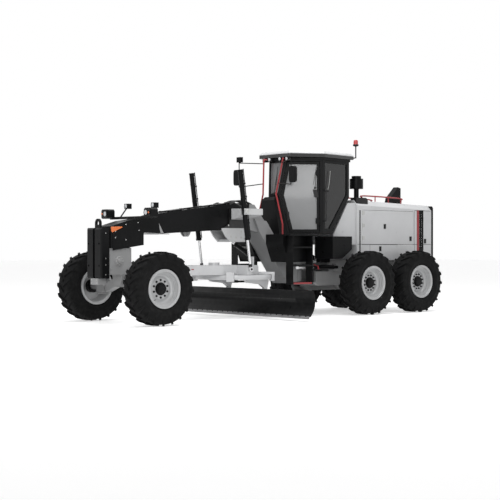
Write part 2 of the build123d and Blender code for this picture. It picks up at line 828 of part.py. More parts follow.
ear_near = axle_tongue_half_x + side_gap
ear_far = ear_near + lean_ear_thick
web_y = (lean_y + lean_eye_radius + side_gap + 4, lean_y + lean_eye_radius + side_gap + 32)
web_half = 36
fork_z = (
    (knuckle_z[0] - side_gap - fork_thick, knuckle_z[0] - side_gap),
    (knuckle_z[1] + side_gap, knuckle_z[1] + side_gap + fork_thick),
)
for side, side_name in ((1, "left"), (-1, "right")):
    with BuildPart() as lean_fork:
        for end in (1, -1):
            rod(axle_eye(side, end * ear_near), axle_eye(side, end * ear_far), lean_eye_radius)
            block(
                (fwd(end * ear_near), fwd(end * ear_far)),
                (side * lean_y, side * web_y[0]),
                (lean_z - lean_eye_radius, lean_z + lean_eye_radius),
            )
        rod(axle_eye(side, -ear_far), axle_eye(side, ear_far), lean_pin_radius)
        block(
            (fwd(-ear_far), fwd(ear_far)),
            (side * web_y[0], side * web_y[1]),
            (fork_z[0][0], lean_z + lean_eye_radius),
        )
        block(
            (fwd(-web_half), fwd(web_half)),
            (side * web_y[0], side * web_y[1]),
            (lean_z, fork_z[1][1]),
        )
        for low, high in fork_z:
            block((fwd(-web_half), fwd(web_half)), (side * web_y[0], side * kingpin_y), (low, high))
            rod((front_x, side * kingpin_y, low), (front_x, side * kingpin_y, high), knuckle_radius - 10)
        rod(
            (front_x, side * kingpin_y, fork_z[0][0]),
            (front_x, side * kingpin_y, fork_z[1][1]),
            kingpin_radius,
        )
    keep(lean_fork, f"lean_fork_{side_name}")

    ball_y = side * (kingpin_y - steer_arm_in)
    with BuildPart() as knuckle:
        rod((front_x, side * kingpin_y, knuckle_z[0]), (front_x, side * kingpin_y, knuckle_z[1]), knuckle_radius)
        rod(
            (front_x, side * (kingpin_y + 20), axle_z),
            (front_x, side * (wheel_y + disc_z - 4), axle_z),
            spindle_radius - pin_clearance,
        )
        plan_shape(
            [
                (front_x, side * kingpin_y - 22),
                (front_x, side * kingpin_y + 22),
                (steer_arm_x, ball_y + 18),
                (steer_arm_x, ball_y - 18),
            ],
            (steer_arm_z - 14, steer_arm_z + 14),
        )
        rod((steer_arm_x, ball_y, steer_arm_z - 14), (steer_arm_x, ball_y, steer_arm_z + 14), 30)
        rod(
            (front_x, side * kingpin_y, knuckle_z[0]),
            (front_x, side * kingpin_y, knuckle_z[1]),
            kingpin_radius + pin_clearance,
            Mode.SUBTRACT,
        )
    keep(knuckle, f"knuckle_{side_name}")

tie_rod_z = steer_arm_z
tie_end_y = kingpin_y - steer_arm_in - 98    # clear of the arms as the wheels lean
with BuildPart() as tie_rod:
    rod((steer_arm_x, -tie_end_y, tie_rod_z), (steer_arm_x, tie_end_y, tie_rod_z), tie_rod_radius)
keep(tie_rod, "tie_rod")

# ---------------------------------------------------------------- lamps on the nose
lamp_x = fwd(-125)
lamp_y = 690
lamp_z = 2060
work_lamp_x = fwd(-400)
work_lamp_y = 430
work_lamp_z = 2210
lamp_bar_z = 1955
with BuildPart() as headlamps:
    block((lamp_x - 90, lamp_x - 40), (-lamp_y, lamp_y), (lamp_bar_z, lamp_bar_z + 50))
    for side in (1, -1):
        block((lamp_x - 90, lamp_x - 40), (side * (lamp_y - 40), side * (lamp_y + 10)), (lamp_bar_z, lamp_z - 60))
        end_shape(
            [
                (side * lamp_y - 110, lamp_z - 70),
                (side * lamp_y - 80, lamp_z - 90),
                (side * lamp_y + 80, lamp_z - 90),
                (side * lamp_y + 110, lamp_z - 70),
                (side * lamp_y + 110, lamp_z + 60),
                (side * lamp_y + 80, lamp_z + 90),
                (side * lamp_y - 80, lamp_z + 90),
                (side * lamp_y - 110, lamp_z + 60),
            ],
            (lamp_x - 70, lamp_x + 90),
        )
        bar([(lamp_x - 65, side * (work_lamp_y - 30), lamp_bar_z + 25), (work_lamp_x, side * work_lamp_y, work_lamp_z)], 14)
        block(
            (work_lamp_x - 45, work_lamp_x + 45),
            (side * work_lamp_y - 60, side * work_lamp_y + 60),
            (work_lamp_z - 50, work_lamp_z + 50),
        )
keep(headlamps, "headlamps")

# ---------------------------------------------------------------- saddle for the lift cylinders
cheek_thick = 22
trunnion_radius = 20
cheek_in = collar_y - lift_barrel_radius - side_gap - cheek_thick
cheek_out = collar_y + lift_barrel_radius + side_gap
yoke_y = (neck_half + 0.4, neck_half + 32)
yoke_low_z = 1530
yoke_tail_x = fwd(-2840)
arm_x = (saddle_x - 410, saddle_x - 105)     # behind the cylinders
with BuildPart() as lift_saddle:
    for side in (1, -1):
        side_shape(
            [
                (saddle_x + 110, 1790),
                (saddle_x + 10, 1640),
                (saddle_x - 110, yoke_low_z),
                (yoke_tail_x, yoke_low_z),
                (yoke_tail_x, 1780),
                (arm_x[0] - 60, 1900),
                (arm_x[0], collar_z + 75),
                (arm_x[1], collar_z + 75),
                (arm_x[1] + 20, 1880),
            ],
            (side * yoke_y[0], side * yoke_y[1]),
        )
        end_shape(
            [
                (side * yoke_y[1], collar_z - 150),
                (side * yoke_y[1], collar_z + 75),
                (side * (cheek_out + cheek_thick), collar_z + 60),
                (side * (cheek_out + cheek_thick), collar_z - 60),
            ],
            arm_x,
        )
        for near in (cheek_in, cheek_out):
            block(
                (arm_x[1] - 10, saddle_x + 60),
                (side * near, side * (near + cheek_thick)),
                (collar_z - 60, collar_z + 60),
            )
        rod(
            (saddle_x, side * cheek_in, collar_z),
            (saddle_x, side * (cheek_out + cheek_thick), collar_z),
            trunnion_radius + pin_clearance,
            Mode.SUBTRACT,
        )
    block((yoke_tail_x, saddle_x - 110), (-yoke_y[1], yoke_y[1]), (yoke_low_z, yoke_low_z + 50))
    # lug of the side shift cylinder: a plate clear of the barrel and a pad beside the rod's eye
    lug_z = (shift_z_high - 45, shift_z_high + 45)
    lug_x = shift_x + shift_barrel_radius + gland_extra + side_gap + 20
    block((lug_x, yoke_tail_x + 30), (shift_y_high - 50, 10 - yoke_y[1]), lug_z)
    block((shift_x + eye_half + side_gap, lug_x), (shift_y_high - 50, shift_y_high + 50), lug_z)
keep(lift_saddle, "lift_saddle")


# ---------------------------------------------------------------- cab
door_run_x = cab_nose_knee_x - cab_side_x
door_run_y = cab_side_half - cab_knee_half
door_slope = door_run_y / door_run_x
door_turn = atan2(door_run_y, door_run_x)


def nose_half_at(x):
    """Half width of the cab where its slanted door walls are cut off at x."""
    return cab_side_half - (x - cab_side_x) * door_slope


def wall_length(x):
    """Length of a door wall from the widest corner forward to x."""
    return (x - cab_side_x) / cos(door_turn)


# height and x of the nose, from the floor up
cab_sections = [
    (cab_floor_z, cab_nose_floor_x),
    (cab_knee_z, cab_nose_knee_x),
    (cab_top_z, cab_nose_top_x),
]
# foot and head of the slanted wall at the rear
cab_cut = ((fwd(-4750), cab_floor_z - 40), (fwd(-5350), 2400), (cab_rear_x, 2480))


def cab_outline(nose_x):
    half = nose_half_at(nose_x)
    left = [(nose_x, half), (cab_side_x, cab_side_half), (cab_rear_x, cab_rear_half)]
    return left + [(x, -y) for x, y in reversed(left)]


def cab_volume(inset):
    """The cab's whole form, drawn in by an inset on every side but the top."""
    with BuildPart() as volume:
        sections = []
        for z, nose_x in cab_sections:
            with BuildSketch(Plane.XY.offset(z)) as section:
                with BuildLine():
                    Polyline(*cab_outline(nose_x), close=True)
                make_face()
                if inset:
                    offset(amount=-inset, kind=Kind.INTERSECTION, mode=Mode.REPLACE)
            sections.append(section.sketch)
        loft(sections, ruled=True)
        if inset:
            block(
                (cab_rear_x, cab_nose_knee_x),
                (-cab_side_half, cab_side_half),
                (cab_floor_z, cab_floor_z + inset),
                Mode.SUBTRACT,
            )
        (foot_x, foot_z), (head_x, head_z), (rear_x, rear_z) = cab_cut
        side_shape(
            [
                (foot_x + inset, foot_z - 1),
                (foot_x + inset, foot_z + inset * 0.6),
                (head_x + inset, head_z + inset * 0.6),
                (rear_x - 1, rear_z + inset),
                (rear_x - 1, foot_z - 1),
            ],
            (-cab_side_half - 1, cab_side_half + 1),
            Mode.SUBTRACT,
        )
    return volume.part


def door_plane(side):
    """Plane of a door wall at the widest corner, its normal pointing out and its y up."""
    out = (sin(door_turn), side * cos(door_turn), 0)
    along = (-side * cos(door_turn), sin(door_turn), 0)
    return Plane(origin=(cab_side_x, side * cab_side_half, 0), x_dir=along, z_dir=out)


def door_region(side, shrink):
    """A thick slab with the door's outline, drawn in on every side."""
    points = [
        (door_post + shrink, door_low_z + shrink),
        (wall_length(cab_nose_floor_x) - nose_post - shrink, door_low_z + shrink),
        (wall_length(cab_nose_knee_x) - nose_post - shrink * 1.1, cab_knee_z),
        (wall_length(cab_nose_top_x) - nose_post - shrink, door_high_z - shrink),
        (door_post + shrink, door_high_z - shrink),
    ]
    with BuildPart() as region:
        plane = door_plane(side).offset(-2 * cab_wall)
        prism([(-side * run, z) for run, z in points], plane, 4 * cab_wall)
    return region.part


door_post = 70
nose_post = 45
door_low_z = cab_floor_z + 40
door_high_z = cab_top_z - 40
door_frame = 55
rear_run = cab_side_x - cab_rear_x
rear_turn = atan2(cab_side_half - cab_rear_half, rear_run)


def window_regions():
    """Slabs over the fixed windows: windscreen, quarter lights and rear window."""
    regions = []
    with BuildPart() as screen:
        knee_half = nose_half_at(cab_nose_knee_x) - nose_post
        top_half = nose_half_at(cab_nose_top_x) - nose_post
        end_shape(
            [
                (-knee_half, cab_knee_z + 40),
                (knee_half, cab_knee_z + 40),
                (top_half, cab_top_z - 50),
                (-top_half, cab_top_z - 50),
            ],
            (cab_nose_top_x - 110, cab_nose_knee_x + 30),
        )
    regions.append(screen.part)
    for side in (1, -1):
        out = (-sin(rear_turn), side * cos(rear_turn), 0)
        along = (-side * cos(rear_turn), -sin(rear_turn), 0)
        plane = Plane(origin=(cab_side_x, side * cab_side_half, 0), x_dir=along, z_dir=out)
        points = [
            (80, cab_floor_z + 110),
            (230, cab_floor_z + 110),
            (rear_run - 80, cab_cut[2][1] + 60),
            (rear_run - 80, cab_top_z - 60),
            (80, cab_top_z - 60),
        ]
        with BuildPart() as quarter:
            prism([(side * run, z) for run, z in points], plane.offset(-2 * cab_wall), 4 * cab_wall)
        regions.append(quarter.part)
    with BuildPart() as rear:
        half = cab_rear_half - 80
        block((cab_rear_x - cab_wall, cab_rear_x + 2 * cab_wall), (-half, half), (cab_cut[2][1] + 100, cab_top_z - 60))
    regions.append(rear.part)
    return regions


cab_outer = cab_volume(0)
cab_inner = cab_volume(cab_wall)
glass_outer = cab_volume(glass_inset)
glass_inner = cab_volume(glass_inset + glass_thick)
windows = window_regions()

with BuildPart() as cab_frame:
    add(cab_outer)
    add(cab_inner, mode=Mode.SUBTRACT)
    for region in windows:
        add(region, mode=Mode.SUBTRACT)
    for side in (1, -1):
        add(door_region(side, -door_gap), mode=Mode.SUBTRACT)
    with BuildSketch(Plane.XY.offset(cab_top_z)) as header:
        with BuildLine():
            Polyline(*cab_outline(cab_nose_top_x), close=True)
        make_face()
        offset(amount=header_over, kind=Kind.INTERSECTION, mode=Mode.REPLACE)
    extrude(header.sketch, amount=header_thick)
keep(cab_frame, "cab_frame")

with BuildPart() as cab_glass:
    for region in windows:
        add(region)
    add(glass_outer, mode=Mode.INTERSECT)
    add(glass_inner, mode=Mode.SUBTRACT)
keep(cab_glass, "cab_glass")

for side, side_name in ((1, "left"), (-1, "right")):
    with BuildPart() as door:
        add(door_region(side, 0))
        add(cab_outer, mode=Mode.INTERSECT)
        add(cab_inner, mode=Mode.SUBTRACT)
        add(door_region(side, door_frame), mode=Mode.SUBTRACT)
    keep(door, f"door_{side_name}")
    with BuildPart() as door_glass:
        add(door_region(side, door_frame))
        add(glass_outer, mode=Mode.INTERSECT)
        add(glass_inner, mode=Mode.SUBTRACT)
    keep(door_glass, f"door_glass_{side_name}")

roof_low_z = cab_top_z + header_thick
roof_plan = [
    (roof_front_x, roof_front_half),
    (cab_side_x, cab_side_half + roof_over),
    (roof_rear_x, cab_rear_half + roof_over),
]
with BuildPart() as cab_roof:
    plan_shape(roof_plan + [(x, -y) for x, y in reversed(roof_plan)], (roof_low_z, roof_low_z + roof_thick))
    chamfer(cab_roof.edges().group_by(Axis.Z)[-1], 45)
keep(cab_roof, "cab_roof")

# ---------------------------------------------------------------- decks, steps and cowl below the cab
deck_x = (fwd(-4180), fwd(-3380))
deck_z = (1655, 1685)
deck_half = 950
box_half = 750
box_low_z = 1120
step_y = (box_half + 10, deck_half)
step_x = (fwd(-4010), fwd(-3460))
step_z = (690, 1050, 1420)
step_plate = 14
with BuildPart() as cab_base:
    for side in (1, -1):
        side_shape(
            [
                (deck_x[1], deck_z[0]),
                (deck_x[1], deck_z[0] - 160),
                (deck_x[1] - 150, box_low_z),
                (deck_x[0], box_low_z),
                (deck_x[0], deck_z[0]),
            ],
            (side * (beam_half + 0.4), side * box_half),
        )
        block(deck_x, (side * (beam_half + 0.4), side * deck_half), deck_z)
        for x in step_x:
            block(
                (x - step_plate, x),
                (side * (box_half - 1), side * step_y[1]),
                (step_z[0] - 20, deck_z[0]),
            )
        for z in step_z:
            block(
                (step_x[0] - step_plate, step_x[1]),
                (side * step_y[0], side * step_y[1]),
                (z - 15, z + 15),
            )
        for x in (deck_x[0] + 60, deck_x[0] + 200):
            rod((x, side * 420, deck_z[1]), (x, side * 420, cab_floor_z), 50)
    cowl = []
    for z, rear_x, front_x_here, half in (
        (beam_top_z, cab_nose_floor_x + 15, fwd(-3700), 300),
        (cab_knee_z - 110, cab_nose_knee_x + 8, fwd(-3640), 200),
        (cab_knee_z - 40, cab_nose_knee_x + 6, fwd(-3700), 150),
    ):
        with BuildSketch(Plane.XY.offset(z)) as section:
            with Locations(((rear_x + front_x_here) / 2, 0)):
                Rectangle(front_x_here - rear_x, 2 * half)
        cowl.append(section.sketch)
    loft(cowl, ruled=True)
    for side in (1, -1):
        block(
            (cab_nose_floor_x + 15, fwd(-3700)),
            (side * (beam_half + 0.4), side * 300),
            (deck_z[0], beam_top_z),
        )
keep(cab_base, "cab_base")


rail_radius = 17
rail_points = [
    (cab_nose_top_x + header_over + rail_radius / 2, 236, cab_top_z + header_thick / 2),
    (fwd(-3800), 296, cab_top_z + header_thick / 2),
    (fwd(-3690), 201, 2530),
    (fwd(-3690), 400, 1900),
    (fwd(-3690), 400, deck_z[1] + rail_radius / 2),
]
with BuildPart() as handrails:
    for side in (1, -1):
        bar([(x, side * y, z) for x, y, z in rail_points], rail_radius)
    add(cab_frame.part, mode=Mode.SUBTRACT)
keep(handrails, "handrails")

mirror_x = fwd(-3548)
mirror_y = 861
mirror_z = 2900
mirror_arm_radius = 10
with BuildPart() as mirrors:
    for side in (1, -1):
        block(
            (mirror_x - 30, mirror_x + 40),
            (side * mirror_y - 90, side * mirror_y + 90),
            (mirror_z - 170, mirror_z + 170),
        )
    chamfer(mirrors.edges().filter_by(Axis.X), 25)
    for side in (1, -1):
        for share, z in ((0.12, 3190), (0.7, 2720)):
            start = between(rail_points[1], rail_points[2], share)
            stem_y = side * (mirror_y - 60)
            bar([(start[0], side * start[1], start[2]), (mirror_x, stem_y, z)], mirror_arm_radius)
        bar([(mirror_x, stem_y, 2700), (mirror_x, stem_y, 3210)], mirror_arm_radius)
    add(handrails.part, mode=Mode.SUBTRACT)
keep(mirrors, "mirrors")

beacon_x = roof_rear_x - 115
beacon_y = cab_rear_half
beacon_z = 3600
beacon_stem_radius = 13
with BuildPart() as beacon:
    bar(
        [
            (roof_rear_x - beacon_stem_radius / 2, beacon_y, roof_low_z + 50),
            (beacon_x, beacon_y, roof_low_z + 50),
            (beacon_x, beacon_y, beacon_z),
        ],
        beacon_stem_radius,
    )
    rod((beacon_x, beacon_y, beacon_z), (beacon_x, beacon_y, beacon_z + 30), 62)
    rod((beacon_x, beacon_y, beacon_z + 30), (beacon_x, beacon_y, beacon_z + 130), 50)
keep(beacon, "beacon")

seat_x = fwd(-4800)
seat_z = 2180
cushion_thick = 110
with BuildPart() as seat:
    block((seat_x - 230, seat_x + 250), (-240, 240), (seat_z, seat_z + cushion_thick))
    side_shape(
        [
            (seat_x - 230, seat_z + 40),
            (seat_x - 130, seat_z + 40),
            (seat_x - 220, seat_z + 780),
            (seat_x - 310, seat_z + 780),
        ],
        (-220, 220),
    )
keep(seat, "seat")

cabin_floor_z = cab_floor_z + cab_wall
column_foot = (fwd(-4080), 0, cabin_floor_z + 12)
column_head = (fwd(-4280), 0, 2440)
wheel_centre = Plane(origin=column_head, z_dir=Vector(*column_head) - Vector(*column_foot))
with BuildPart() as controls:
    rod((seat_x + 90, 0, cabin_floor_z), (seat_x + 90, 0, seat_z), 80)
    rod(column_foot, column_head, 45)
    with BuildSketch(wheel_centre) as wheel_rim:
        Circle(190)
        Circle(160, mode=Mode.SUBTRACT)
        Rectangle(330, 34)
        Circle(50)
    extrude(wheel_rim.sketch, amount=26)
    for side in (1, -1):
        block(
            (seat_x + 60, seat_x + 290),
            (side * 290, side * 390),
            (cabin_floor_z, seat_z + 230),
        )
    add(cab_inner, mode=Mode.INTERSECT)
keep(controls, "controls")


# ---------------------------------------------------------------- drawbar
plate_z = (circle_low_z + circle_thick + circle_gap, circle_low_z + circle_thick + circle_gap + 50)
beam_z = (plate_z[0], plate_z[0] + drawbar_thick)
shoe_in = circle_radius - 40
shoe_out = circle_radius + circle_gap + 60
gear_x = circle_x + circle_inner - 130
gear_high = 60
lug_half_y = collar_y - eye_half - side_gap      # outer faces of the lugs for the lift cylinders
lug_front_x = fwd(-1230)
drawbar_eye_z = (hitch_eye_z - 60, hitch_eye_z + 60)
with BuildPart() as drawbar:
    plan_shape(
        [
            (hitch_eye_x - 30, -hitch_eye_half),
            (hitch_eye_x - 30, hitch_eye_half),
            (hitch_eye_x - 110, hitch_eye_half),
            (lug_front_x, 300),
            (fwd(-2100), drawbar_half_rear),
            (fwd(-3000), drawbar_half_rear),
            (fwd(-3000), -drawbar_half_rear),
            (fwd(-2100), -drawbar_half_rear),
            (lug_front_x, -300),
            (hitch_eye_x - 110, -hitch_eye_half),
        ],
        beam_z,
    )
    plan_shape([(fwd(-1000), 0), (fwd(-1500), 190), (fwd(-1850), 190), (fwd(-1850), -190), (fwd(-1500), -190)],
               (beam_z[0] - 1, beam_z[1] + 1), Mode.SUBTRACT)
    rod((circle_x, 0, beam_z[0] - 1), (circle_x, 0, beam_z[1] + 1), 230, Mode.SUBTRACT)
    block((hitch_eye_x - 120, hitch_eye_x), (-hitch_eye_half, hitch_eye_half), drawbar_eye_z)
    rod((hitch_eye_x, -hitch_eye_half, hitch_eye_z), (hitch_eye_x, hitch_eye_half, hitch_eye_z), hitch_eye_radius)
    rod(
        (hitch_eye_x, -hitch_eye_half, hitch_eye_z),
        (hitch_eye_x, hitch_eye_half, hitch_eye_z),
        hitch_pin_radius + pin_clearance,
        Mode.SUBTRACT,
    )
    for x_side in (1, -1):
        for side in (1, -1):
            turn = radians(45)
            out = (x_side * cos(turn), side * sin(turn))
            spoke = Plane(origin=(circle_x, 0, plate_z[0]), x_dir=(out[0], out[1], 0), z_dir=(0, 0, 1))
            with BuildSketch(spoke) as arm:
                with Locations(((shoe_out + 400) / 2, 0)):
                    Rectangle(shoe_out - 400, 150)
            extrude(arm.sketch, amount=50)
            with BuildSketch(spoke.offset(-circle_thick - 2 * circle_gap - 26)) as lip:
                with Locations(((shoe_out + shoe_in) / 2, 0)):
                    Rectangle(shoe_out - shoe_in, 150)
            extrude(lip.sketch, amount=26)
            with BuildSketch(spoke.offset(-circle_thick - 2 * circle_gap - 26)) as jaw:
                with Locations(((shoe_out + circle_radius + circle_gap) / 2, 0)):
                    Rectangle(shoe_out - circle_radius - circle_gap, 150)
            extrude(jaw.sketch, amount=circle_thick + 2 * circle_gap + 26 + 50)
    for side in (1, -1):
        block((lift_ball_x - 60, lift_ball_x + 60), (side * (drawbar_half_rear - 10), side * lug_half_y), beam_z)
    shift_lug_x = shift_x + eye_half + shift_eye_gap
    block(
        (shift_lug_x, shift_lug_x + 28),
        (shift_y_low - 50, shift_y_low + 50),
        (beam_z[1] - 20, shift_z_low + 45),
    )
    rod((gear_x, 0, beam_z[1]), (gear_x, 0, beam_z[1] + gear_high), 110)
keep(drawbar, "drawbar")

# ---------------------------------------------------------------- circle with its inner teeth and arms
arm_faces = (arm_y - arm_thick / 2, arm_y + arm_thick / 2)
with BuildPart() as circle:
    with BuildSketch(Plane.XY.offset(circle_low_z)) as ring:
        with Locations((circle_x, 0)):
            Circle(circle_radius)
            Circle(circle_inner, mode=Mode.SUBTRACT)
            with PolarLocations(circle_inner - tooth_height / 2 + 3, tooth_count):
                Trapezoid(tooth_height + 6, 46, 70, rotation=90)
    extrude(ring.sketch, amount=circle_thick)
    for side in (1, -1):
        side_shape(
            [
                (circle_x + 230, circle_low_z + 20),
                (circle_x + 140, circle_low_z - 60),
                (fwd(-2900), 680),
                (tip_x + 20, 610),
                (tip_x + 50, tip_z + 20),
                (tip_x + 45, tip_z - 35),
                (tip_x, tip_z - 60),
                (tip_x - 45, tip_z - 35),
                (tip_x - 70, 620),
                (circle_x - 430, circle_low_z - 50),
                (circle_x - 430, circle_low_z + 20),
            ],
            (side * arm_faces[0], side * arm_faces[1]),
        )
    rod(
        (tip_x, -arm_faces[1] - 1, tip_z),
        (tip_x, arm_faces[1] + 1, tip_z),
        tip_pin_radius + pin_clearance,
        Mode.SUBTRACT,
    )
keep(circle, "circle")

# ---------------------------------------------------------------- blade, its edge and carriage
blade_back_x = blade_front_x - blade_lean_back / 2 - blade_hollow - blade_thick
bow_x = blade_front_x - blade_lean_back / 2 - blade_hollow
blade_mid_z = (blade_low_z + blade_high_z) / 2
edge_thick = 19
edge_height = 150
rail_z = (blade_low_z + 110, blade_high_z - 130)
rail_height = 40
rail_x = (blade_back_x - 40, bow_x)
blade_half = blade_length / 2
with BuildPart() as blade:
    with BuildSketch(Plane.XZ.offset(-blade_half)) as section:
        with BuildLine():
            foot = (blade_front_x - edge_thick, blade_low_z + 40)
            head = (blade_front_x - blade_lean_back, blade_high_z)
            front = ThreePointArc(foot, (bow_x, blade_mid_z), head)
            top = Line(head, (head[0] - blade_thick, head[1]))
            back_foot = (foot[0] - blade_thick, foot[1])
            back = ThreePointArc(top @ 1, (blade_back_x, blade_mid_z), back_foot)
            Line(back_foot, foot)
        make_face()
    extrude(section.sketch, amount=blade_length)
    for z in rail_z:
        block(rail_x, (-blade_half + 500, blade_half - 500), (z, z + rail_height))
    for side in (1, -1):
        side_shape(
            [
                (rail_x[0], blade_mid_z - 130),
                (rail_x[0], blade_mid_z + 130),
                (bow_x - 4, blade_mid_z + 160),
                (bow_x - 4, blade_mid_z - 160),
            ],
            (side * (blade_half - 520), side * (blade_half - 480)),
        )
keep(blade, "blade")

with BuildPart() as cutting_edge:
    side_shape(
        [
            (blade_front_x, blade_low_z),
            (blade_front_x - edge_thick, blade_low_z),
            (blade_front_x - edge_thick, blade_low_z + 40),
            (blade_front_x - edge_thick - 0.5, blade_low_z + 41),
            (blade_front_x - 14, blade_low_z + edge_height * 0.4),
            (blade_front_x, blade_low_z + 41),
        ],
        (-blade_half, blade_half),
    )
keep(cutting_edge, "cutting_edge")

carriage_y = (arm_faces[0] - side_gap - 50, arm_faces[0] - side_gap)
carriage_x = (tip_x - 70, rail_x[1] - 40)
notch_gap = side_gap
with BuildPart() as blade_carriage:
    for side in (1, -1):
        side_shape(
            [
                (carriage_x[1], rail_z[0] - 50),
                (carriage_x[1], rail_z[1] + rail_height + 50),
                (tip_x + 20, rail_z[1] + rail_height + 50),
                (carriage_x[0], tip_z + 60),
                (carriage_x[0], tip_z - 60),
                (tip_x + 20, rail_z[0] - 50),
            ],
            (side * carriage_y[0], side * carriage_y[1]),
        )
        for z in rail_z:
            block(
                (rail_x[0] - notch_gap, carriage_x[1] + 1),
                (side * (carriage_y[0] - 1), side * (carriage_y[1] + 1)),
                (z - notch_gap, z + rail_height + notch_gap),
                Mode.SUBTRACT,
            )
        rod((tip_x, side * carriage_y[0], tip_z), (tip_x, side * (arm_faces[1] + 10), tip_z), tip_pin_radius)
    rod((tip_x, -carriage_y[0] - 1, tip_z), (tip_x, carriage_y[0] + 1, tip_z), 48)
keep(blade_carriage, "blade_carriage")

# ---------------------------------------------------------------- cylinders
def barrel_and_rod(name, foot, head, length, radii, rod_length, travel, eye_axis, foot_extra=0):
    """A hydraulic cylinder: a barrel from its foot towards the head and a rod out to the head.

    The barrel is bored for the rod, with room for it to travel in. Eyes lie across eye_axis. A barrel
    that reaches past its foot is held there by trunnion pins and has no eye.
    """
    radius, rod_radius = radii
    foot, head, eye_axis = Vector(*foot), Vector(*head), Vector(*eye_axis)
    along = (head - foot).normalized()
    mouth = foot + along * length
    rod_end = head - along * rod_length
    with BuildPart() as barrel:
        start = foot - along * foot_extra
        if not foot_extra:
            start = foot + along * neck_length
            rod(tuple(foot), tuple(start), eye_half - 4, sides=10)
        rod(tuple(start), tuple(mouth), radius, sides=barrel_sides)
        rod(tuple(mouth - along * (radius * 0.9)), tuple(mouth), radius + gland_extra, sides=barrel_sides)
        if not foot_extra:
            rod(
                tuple(foot - eye_axis * eye_half),
                tuple(foot + eye_axis * eye_half),
                eye_radius,
                sides=barrel_sides,
            )
            rod(
                tuple(foot - eye_axis * eye_half),
                tuple(foot + eye_axis * eye_half),
                cylinder_pin_radius + pin_clearance,
                Mode.SUBTRACT,
            )
        else:
            for side in (1, -1):
                pin = eye_axis * side
                rod(tuple(foot), tuple(foot + pin * (radius + side_gap + cheek_thick)), trunnion_radius)
            rod(tuple(foot - along * 45), tuple(foot + along * 45), radius + 4, sides=barrel_sides)
        rod(tuple(rod_end - along * travel), tuple(mouth + along), rod_radius + pin_clearance, Mode.SUBTRACT)
    keep(barrel, f"{name}_barrel")
    with BuildPart() as plunger:
        rod(tuple(rod_end), tuple(head), rod_radius)
        rod(
            tuple(head - eye_axis * eye_half),
            tuple(head + eye_axis * eye_half),
            eye_radius,
            sides=barrel_sides,
        )
    keep(plunger, f"{name}_rod")


for side, side_name in ((1, "left"), (-1, "right")):
    trunnion = (saddle_x, side * collar_y, collar_z)
    ball = (lift_ball_x, side * (lug_half_y + side_gap + eye_half), lift_ball_z)
    line = Vector(*ball) - Vector(*trunnion)
    share = line.length / abs(line.Z)
    barrel_and_rod(
        f"lift_{side_name}",
        trunnion,
        ball,
        (collar_z - lift_low_z) * share,
        (lift_barrel_radius, lift_rod_radius),
        line.length - 180,
        440,
        (0, 1, 0),
        foot_extra=(lift_top_z - collar_z) * share,
    )
    barrel_and_rod(
        f"steer_{side_name}",
        (steer_foot_x, side * steer_foot_y, steer_cyl_z),
        (steer_lug_x, side * steer_lug_y, steer_cyl_z),
        steer_barrel_length,
        (steer_barrel_radius, steer_rod_radius),
        800,
        220,
        (0, 0, 1),
    )
barrel_and_rod(
    "side_shift",
    (shift_x, shift_y_low, shift_z_low),
    (shift_x, shift_y_high, shift_z_high),
    shift_barrel_length,
    (shift_barrel_radius, shift_rod_radius),
    640,
    190,
    (1, 0, 0),
)

for name, piece in made.items():
    export_step(piece, f"parts/{name}.step")
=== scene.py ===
"""The looks of the motor grader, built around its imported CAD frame."""

import json
import math
import random

import bpy
from mathutils import Matrix, Vector


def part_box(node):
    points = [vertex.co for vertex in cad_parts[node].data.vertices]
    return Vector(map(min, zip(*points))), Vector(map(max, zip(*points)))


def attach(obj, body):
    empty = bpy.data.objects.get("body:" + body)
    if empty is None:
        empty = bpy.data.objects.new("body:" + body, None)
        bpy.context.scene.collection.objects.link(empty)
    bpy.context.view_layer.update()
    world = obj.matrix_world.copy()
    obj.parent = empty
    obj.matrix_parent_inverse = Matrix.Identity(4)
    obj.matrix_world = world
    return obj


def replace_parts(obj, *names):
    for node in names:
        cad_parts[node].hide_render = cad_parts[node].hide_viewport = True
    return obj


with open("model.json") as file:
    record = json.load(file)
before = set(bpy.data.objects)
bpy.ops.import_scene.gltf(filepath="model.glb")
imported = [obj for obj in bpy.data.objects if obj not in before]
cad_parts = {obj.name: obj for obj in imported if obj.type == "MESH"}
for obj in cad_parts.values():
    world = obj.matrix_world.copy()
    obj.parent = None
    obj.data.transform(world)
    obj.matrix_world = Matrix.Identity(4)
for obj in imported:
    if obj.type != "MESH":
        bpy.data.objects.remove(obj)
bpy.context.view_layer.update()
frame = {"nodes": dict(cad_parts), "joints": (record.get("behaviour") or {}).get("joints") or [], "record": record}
record = frame["record"]
joint_at = {j["name"]: Vector(j["pos_m"]) for j in frame["joints"] if "pos_m" in j}
random.seed(7)
front_x = joint_at["lean_left"].x
tandem_from_axle = -6.28        # middle of the tandem, seen from the front axle
hood_side_y = 0.650
pair = ((1, "left"), (-1, "right"))


def fore(distance):
    """X of a point that far ahead of the front axle."""
    return front_x + distance


